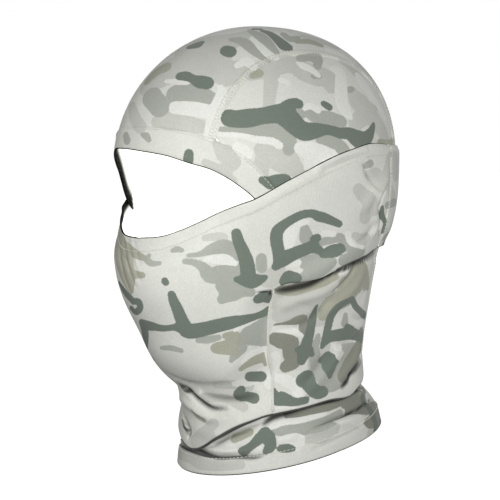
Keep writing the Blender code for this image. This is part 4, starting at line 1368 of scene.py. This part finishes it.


class Nodes:
    """Short calls for the nodes of one material."""

    def __init__(self, name):
        self.material = bpy.data.materials.new(name)
        self.material.use_nodes = True
        self.tree = self.material.node_tree
        self.shader = self.tree.nodes["Principled BSDF"]
        self.place = self.new("ShaderNodeTexCoord").outputs["Object"]

    def new(self, kind, **settings):
        node = self.tree.nodes.new(kind)
        for key, value in settings.items():
            setattr(node, key, value)
        return node

    def put(self, socket, value):
        if isinstance(value, bpy.types.NodeSocket):
            self.tree.links.new(value, socket)
        else:
            socket.default_value = value

    def math(self, operation, a, b=0.0):
        node = self.new("ShaderNodeMath", operation=operation)
        self.put(node.inputs[0], a)
        self.put(node.inputs[1], b)
        return node.outputs[0]

    def mix(self, factor, a, b, blend="MIX"):
        node = self.new("ShaderNodeMix", data_type="RGBA", blend_type=blend)
        self.put(node.inputs[0], factor)
        self.put(node.inputs[6], a)
        self.put(node.inputs[7], b)
        return node.outputs[2]

    def step(self, value, low, high, start=0.0, end=1.0):
        node = self.new("ShaderNodeMapRange", interpolation_type="SMOOTHSTEP")
        for socket, given in zip(node.inputs, (value, low, high, start, end)):
            self.put(socket, given)
        return node.outputs[0]

    def noise(self, place, scale, detail=2.0):
        node = self.new("ShaderNodeTexNoise")
        self.put(node.inputs["Vector"], place)
        node.inputs["Scale"].default_value = scale
        node.inputs["Detail"].default_value = detail
        return node.outputs["Fac"]

    def attribute(self, name, output):
        return self.new("ShaderNodeAttribute", attribute_name=name).outputs[output]

    def bump(self, height, strength, distance):
        node = self.new("ShaderNodeBump")
        node.inputs["Strength"].default_value = strength
        node.inputs["Distance"].default_value = distance
        self.put(node.inputs["Height"], height)
        self.put(self.shader.inputs["Normal"], node.outputs[0])

    def finish(self, roughness, sheen, specular=0.25):
        self.put(self.shader.inputs["Roughness"], roughness)
        self.shader.inputs["Sheen Weight"].default_value = sheen
        self.shader.inputs["Sheen Roughness"].default_value = 0.5
        self.shader.inputs["Specular IOR Level"].default_value = specular
        return self.material


def knit_height(nodes):
    """Height of the knit: wales with slanting courses, in shares of the thread's depth."""
    split = nodes.new("ShaderNodeSeparateXYZ")
    nodes.put(split.inputs[0], nodes.attribute("weave", "Vector"))
    wale = nodes.math("DIVIDE", split.outputs[0], WALE)
    wave = nodes.math("ABSOLUTE", nodes.math("SINE", nodes.math("MULTIPLY", wale, np.pi)))
    slant = nodes.math("PINGPONG", wale, 0.5)
    course = nodes.math("ADD", nodes.math("DIVIDE", split.outputs[1], COURSE), slant)
    ripple = nodes.math("SINE", nodes.math("MULTIPLY", course, 2 * np.pi))
    return nodes.math("ADD", wave, nodes.math("MULTIPLY", ripple, 0.3))


def printed_knit(name):
    """Matt polyester knit with the camouflage printed into it, and painted shade over it."""
    nodes = Nodes(name)
    ragged = nodes.math("SUBTRACT", nodes.noise(nodes.place, 1400, 1.0), 0.5)
    ragged = nodes.math("MULTIPLY", ragged, 0.9)
    shade = GROUND
    for ink in INKS:
        inside = nodes.math("ADD", nodes.attribute("ink_" + ink, "Fac"), ragged)
        shade = nodes.mix(nodes.step(inside, -0.3, 0.3), shade, INK_COLOURS[ink])
    height = knit_height(nodes)
    cloudy = nodes.step(nodes.noise(nodes.place, 45, 3.0), 0.3, 0.7, 0.965, 1.02)
    fine = nodes.step(nodes.noise(nodes.place, 700, 1.0), 0.25, 0.75, 0.96, 1.03)
    # Painted shade in the knit's grooves.
    grooves = nodes.step(height, 0.0, 1.2, 0.955, 1.01)
    # Painted shade, darkest in deep creases, gaps and rolled edges.
    crease_shade = nodes.step(nodes.attribute("crease_shade", "Fac"), CREASE_DARK, -0.4, 0.10, 1.0)
    split = nodes.new("ShaderNodeSeparateXYZ")
    nodes.put(split.inputs[0], nodes.place)
    # Painted shade: darker towards the bottom of the neck and on the crown.
    neck = nodes.step(split.outputs[2], -0.200, -0.090, NECK_PAINTED_SHADE, 1.0)
    crown = nodes.step(split.outputs[2], -0.010, 0.060, 1.0, CROWN_PAINTED_SHADE)
    tone = nodes.math("MULTIPLY", cloudy, fine)
    for share in (grooves, crease_shade, neck, crown):
        tone = nodes.math("MULTIPLY", tone, share)
    grey = nodes.new("ShaderNodeCombineColor")
    for socket in grey.inputs:
        nodes.put(socket, tone)
    shade = nodes.mix(1.0, shade, grey.outputs[0], "MULTIPLY")
    nodes.put(nodes.shader.inputs["Base Color"], shade)
    nodes.bump(height, 0.35, KNIT_DEPTH)
    return nodes.finish(nodes.step(nodes.noise(nodes.place, 300, 2.0), 0.2, 0.8, 0.78, 0.92), 0.15)


def inside_knit():
    """The white back of the knit, with a painted glow, and painted shade at a hem's edge."""
    nodes = Nodes("knit_inside")
    height = knit_height(nodes)
    edge = nodes.attribute("edge", "Fac")
    shade = nodes.mix(nodes.step(height, 0.0, 1.2), INSIDE_GROOVE, INSIDE)
    # Painted shade at a hem's edge, by the edge values.
    nodes.put(nodes.shader.inputs["Base Color"], nodes.mix(edge, shade, HEM_EDGE_SHADE))
    # Painted glow: the inside emits its own white, none where the edge is painted dark.
    nodes.shader.inputs["Emission Color"].default_value = INSIDE
    glow = nodes.step(edge, 0.0, 1.0, 0.55, 0.0)
    nodes.put(nodes.shader.inputs["Emission Strength"], glow)
    nodes.bump(height, 0.25, KNIT_DEPTH)
    return nodes.finish(nodes.step(nodes.noise(nodes.place, 300, 2.0), 0.2, 0.8, 0.8, 0.92), 0.0, 0.05)


def sewing_thread():
    """Spun polyester thread, with its twist and a faint gloss."""
    nodes = Nodes("sewing_thread")
    twist = nodes.noise(nodes.place, 3200, 1.0)
    # Painted shade: darker where the twist's bump is lowest.
    nodes.put(nodes.shader.inputs["Base Color"], nodes.mix(twist, THREAD_GROOVE, THREAD))
    nodes.bump(twist, 0.4, TWIST_DEPTH)
    return nodes.finish(nodes.step(twist, 0.2, 0.8, 0.5, 0.7), 0.2, 0.4)


def plain_paper():
    nodes = Nodes("paper")
    faint = nodes.step(nodes.noise(nodes.place, 6, 2.0), 0.2, 0.8, 0.985, 1.0)
    nodes.put(nodes.shader.inputs["Base Color"], nodes.mix(faint, PAPER_DARK, PAPER))
    nodes.shader.inputs["Emission Color"].default_value = WHITE
    nodes.shader.inputs["Emission Strength"].default_value = 1.0
    return nodes.finish(0.9, 0.0, 0.1)


# ---- putting the garment together ----
PULL_TOWARDS = np.array([0.0, -0.707, 0.707])
PULL_START = -0.064     # along PULL_TOWARDS
PULL_END = 0.042        # along PULL_TOWARDS


def pulled_with_mask(piece):
    start, end = [tuple(PULL_TOWARDS * along) for along in (PULL_START, PULL_END)]
    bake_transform(piece)
    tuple(start)
    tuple(end)


# name, cloth, slot, body (none for the pieces between hood and mask), what it replaces
PIECES = (
    ("brow_hem_cloth", "brow", "printed_hem", "hood", ("brow_hem",)),
    ("crown_cloth", "crown", "printed_knit", "hood", ("crown_panel",)),
    ("side_cloth_left", "side", "printed_knit", "hood", ("side_panel_left",)),
    ("side_cloth_right", "side", "printed_knit", "hood", ("side_panel_right",)),
    ("mask_cloth", "mask", "printed_knit", None, ("mask_panel", "neck_front")),
    ("mask_hem_cloth", "mask_hem", "printed_hem", None, ("mask_hem",)),
    ("back_band_cloth", "band", "printed_knit", "hood", ("back_band",)),
    ("neck_foot_cloth", "foot", "printed_knit", "neck_foot",
     ("neck_foot_front", "neck_foot_side_left", "neck_foot_side_right", "neck_foot_back")),
    ("neck_hem_cloth", "neck_hem", "printed_hem", "neck_foot", ("neck_hem",)),
)


def make_garment():
    inside = inside_knit()
    thread = sewing_thread()
    cloths, surfaces = shape_cloths()
    outside = {name: printed_knit(name) for name in ("printed_knit", "printed_hem", "seam_tape")}
    for name, cloth, slot, body, nodes in PIECES:
        thickness = HEM if slot == "printed_hem" else CLOTH
        piece = cloth_mesh(cloths[cloth], name, [outside[slot], inside], thickness)
        if name.endswith("right"):
            flip(piece)
        finish_piece(piece, slot, body, nodes)
        cloths[cloth].area()
    sew_seams(surfaces, (outside["seam_tape"], inside, thread))
    sew_hems(cloths, thread)


def shape_cloths():
    """Every cloth with its folds pressed in, its edges marked and its print on, and the surfaces
    that given points are cast onto."""
    mask, wing_rows = mask_cloth()
    cloths = {
        "crown": crown_cloth(), "side": Cloth(rolled(side_grid())), "brow": brow_hem_cloth(),
        "mask": mask, "mask_hem": mask_hem_cloth(), "band": back_band_cloth(),
        "foot": foot_cloth(), "neck_hem": neck_hem_cloth(),
    }
    surfaces = {
        "hood": tree([cloths["crown"], cloths["brow"], cloths["side"]]),
        "side": tree([cloths["side"]]),
        "mask": tree([cloths["mask"], cloths["mask_hem"], cloths["band"]]),
        "foot": tree([cloths["foot"], cloths["neck_hem"]]),
    }
    fold_cloths(cloths, surfaces)
    mark_edges(cloths, wing_rows)
    print_cloths(cloths, surfaces)
    return cloths, surfaces


def fold_cloths(cloths, surfaces):
    for name, folds, target in (
        ("mask", MASK_FOLDS, "mask"), ("mask_hem", MASK_FOLDS, "mask"), ("band", MASK_FOLDS, "mask"),
        ("side", SIDE_FOLDS, "side"), ("foot", FOOT_FOLDS, "foot"), ("neck_hem", FOOT_FOLDS, "foot"),
    ):
        cloths[name].fold(folds, surfaces[target])
    cloths["crown"].fold(SIDE_FOLDS, surfaces["side"], both_sides=True)
    for name, lines, target in (
        ("mask", MASK_SHADES, "mask"), ("band", MASK_SHADES, "mask"), ("side", SIDE_SHADES, "side"),
        ("crown", SIDE_SHADES, "side"), ("foot", FOOT_SHADES, "foot"),
    ):
        cloths[name].shade(lines, surfaces[target])


def mark_edges(cloths, wing_rows):
    """Paint shade at the dark edges, and mark the rims that show the plain inside."""
    side = cloths["side"]
    side.print_and_shade["edge"] = np.zeros(side.base.shape[:2])
    side.print_and_shade["edge"][:, :3] = PLAIN_RIM
    for name in ("crown", "side", "mask"):
        shade_roll(cloths[name])
    darken_edge(cloths["brow"], 0, BROW_SHADE, RIGHT_EYE_END)
    darken_edge(cloths["mask_hem"], 0, MASK_SHADE)
    darken_edge(cloths["neck_hem"], -1, EDGE_LINE)
    for name in ("brow", "mask_hem"):
        cloths[name].print_and_shade["edge"][:, -2:] = PLAIN_RIM
    shade_wing_foot(cloths["mask"], wing_rows - 1)
    cloths["mask"].print_and_shade["edge"] *= np.abs(mask_columns()) > SEAM_CORNER[0]
    shade_wing_foot(cloths["band"], -1)


def print_cloths(cloths, surfaces):
    hood = [CROWN_PRINT, SIDE_PRINT]
    for name, target, prints, copied in (
        ("crown", "hood", [CROWN_PRINT], hood), ("brow", "hood", hood, [CROWN_PRINT]),
        ("side", "side", [SIDE_PRINT], []), ("mask", "mask", [MASK_PRINT], [MASK_PRINT]),
        ("mask_hem", "mask", [MASK_PRINT], [MASK_PRINT]),
        ("band", "mask", [MASK_PRINT], [MASK_PRINT]), ("foot", "foot", [FOOT_PRINT], [FOOT_PRINT]),
        ("neck_hem", "foot", [FOOT_PRINT], [FOOT_PRINT]),
    ):
        print_patches(cloths[name], surfaces[target], prints, copied)


def flip(piece):
    """Mirror a finished piece to the wearer's right."""
    piece.data.transform(Matrix.Diagonal((-1.0, 1.0, 1.0, 1.0)))
    piece.data.flip_normals()


def finish_piece(piece, slot, body, nodes):
    """Hide the parts that a piece replaces, and attach it to the body that it moves with, if any."""
    if nodes:
        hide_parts(*nodes)
    if body is None:
        pulled_with_mask(piece)
    else:
        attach(piece, body)


def sew_seams(surfaces, materials):
    """The flat seams, whose tapes follow the folds of the cloths beside them."""
    hood, side, mask = surfaces["hood"], surfaces["side"], surfaces["mask"]
    for suffix, mirror in (("_left", MIRROR * MIRROR), ("_right", MIRROR)):
        tape = seam_tape(crown_seam_line(), mirror, SEAM_HALF)
        tape.fold(SIDE_FOLDS, side, both_sides=True)
        print_patches(tape, hood, [CROWN_PRINT, SIDE_PRINT], [CROWN_PRINT, SIDE_PRINT])
        sew_seam("crown_seam" + suffix, tape, SEAM_HALF, materials)

        tape = seam_tape(back_seam_line(), mirror, BAND_SEAM_HALF)
        height = tape.base[..., 2]
        tape.push(band_edge(WING_END + 0 * height, height - smooth(MASK_FOOT, WING_END)))
        tape.fold(MASK_FOLDS, mask)
        print_patches(tape, mask, [MASK_PRINT], [])
        sew_seam("back_band_seam" + suffix, tape, BAND_SEAM_HALF, materials)

        fold = fold_at(mirror[0] * NECK_SEAM_ANGLE)
        tape = seam_tape(neck_seam_line(fold), mirror, NECK_SEAM_HALF)
        print_patches(tape, hood, [], [])
        sew_seam("neck_seam" + suffix, tape, NECK_SEAM_HALF, materials)


def sew_seam(name, tape, half, materials):
    """A flat seam: its tape of cloth with a zigzag of thread over it."""
    tape_material, inside, thread = materials
    piece = cloth_mesh(tape, name + "_tape", [tape_material, inside], TAPE)
    finish_piece(piece, "printed_knit", "hood", [name])
    middle = tape.base.shape[1] // 2
    sideways = tape.base[:, -1] - tape.base[:, 0]
    up = tape.normals()[:, middle]
    path, normal = zigzag(tape.points[:, middle], sideways, up, half * ZIGZAG_REACH)
    stitching = thread_mesh(name + "_thread", path, normal, SEAM_THREAD_RADIUS, thread)
    finish_piece(stitching, "sewing_thread", "hood", [])


def sew_hems(cloths, thread):
    """Rows of cover stitch over the hems."""
    rows = (
        ("brow_hem_stitch_thread", cloths["brow"], -2, "hood", ["brow_hem_stitch"]),
        ("mask_hem_stitch_thread", cloths["mask_hem"], -1, None, ["mask_hem_stitch"]),
        ("neck_hem_stitch_thread", cloths["neck_hem"], 0, "neck_foot", ["neck_hem_stitch"]),
    )
    for name, cloth, row, body, nodes in rows:
        points = cloth.points[row]
        normals = cloth.normals()[row]
        if cloth.wrap:
            points = np.concatenate([points, points[:1]])
            normals = np.concatenate([normals, normals[:1]])
        paths, up = stitches(points, normals)
        piece = thread_mesh(name, paths, up, THREAD_RADIUS, thread)
        finish_piece(piece, "sewing_thread", body, nodes)


# ---- studio ----
LIGHT_DISTANCE = 1.9
# name, turn and tilt in degrees from the nose, size, watts
LIGHTS = (("key", 65, 9, 0.6, 27), ("fill", -4, 14, 0.9, 13), ("back", 230, 4, 0.9, 16))
ROOM_LIGHT = 0.16       # strength of the even light from all round
FLOOR_HALF = 25.0
FLOOR_LEVEL = -0.75


def look_at(thing, place, target):
    thing.location = Vector(place)
    thing.rotation_euler = (Vector(place) - Vector(target)).to_track_quat("Z", "Y").to_euler()


def add_camera():
    lens = bpy.data.cameras.new("camera")
    lens.sensor_width = 36.0
    lens.lens = lens.sensor_width * VIEW_DISTANCE / VIEW_WIDTH
    camera = link("camera", lens)
    look_at(camera, EYE, EYE - TOWARDS)
    bpy.context.scene.camera = camera


def add_light(name, turn, tilt, size, watts):
    """A square soft light that looks at the head, turn and tilt in degrees from the nose."""
    lamp = bpy.data.lights.new(name, "AREA")
    lamp.size = size
    lamp.energy = watts
    turn, tilt = radians(turn), radians(tilt)
    place = np.array([sin(turn) * cos(tilt), -cos(turn) * cos(tilt), sin(tilt)]) * LIGHT_DISTANCE
    look_at(link(name, lamp), place + MIDDLE, MIDDLE)


def add_studio():
    """White paper far below the head, a white backdrop, and soft light from front and back."""
    corners = np.array([(-1, -1, 0), (1, -1, 0), (1, 1, 0), (-1, 1, 0)]) * FLOOR_HALF
    floor_mesh = new_mesh("floor", corners + [0, 0, FLOOR_LEVEL], [(0, 1, 2, 3)], [plain_paper()])
    floor = link("floor", floor_mesh)
    floor.visible_diffuse = False
    floor.visible_shadow = False
    floor.visible_glossy = False

    world = bpy.data.worlds.new("studio")
    world.use_nodes = True
    bpy.context.scene.world = world
    nodes = world.node_tree.nodes
    links = world.node_tree.links
    room = nodes["Background"]
    room.inputs["Color"].default_value = WHITE
    room.inputs["Strength"].default_value = ROOM_LIGHT
    backdrop = nodes.new("ShaderNodeBackground")
    backdrop.inputs["Color"].default_value = WHITE
    path = nodes.new("ShaderNodeLightPath")
    choose = nodes.new("ShaderNodeMixShader")
    links.new(path.outputs["Is Camera Ray"], choose.inputs[0])
    links.new(room.outputs[0], choose.inputs[1])
    links.new(backdrop.outputs[0], choose.inputs[2])
    links.new(choose.outputs[0], nodes["World Output"].inputs["Surface"])

    for light in LIGHTS:
        add_light(*light)
    bpy.context.scene.view_settings.view_transform = "Standard"


add_camera()
add_studio()
make_garment()
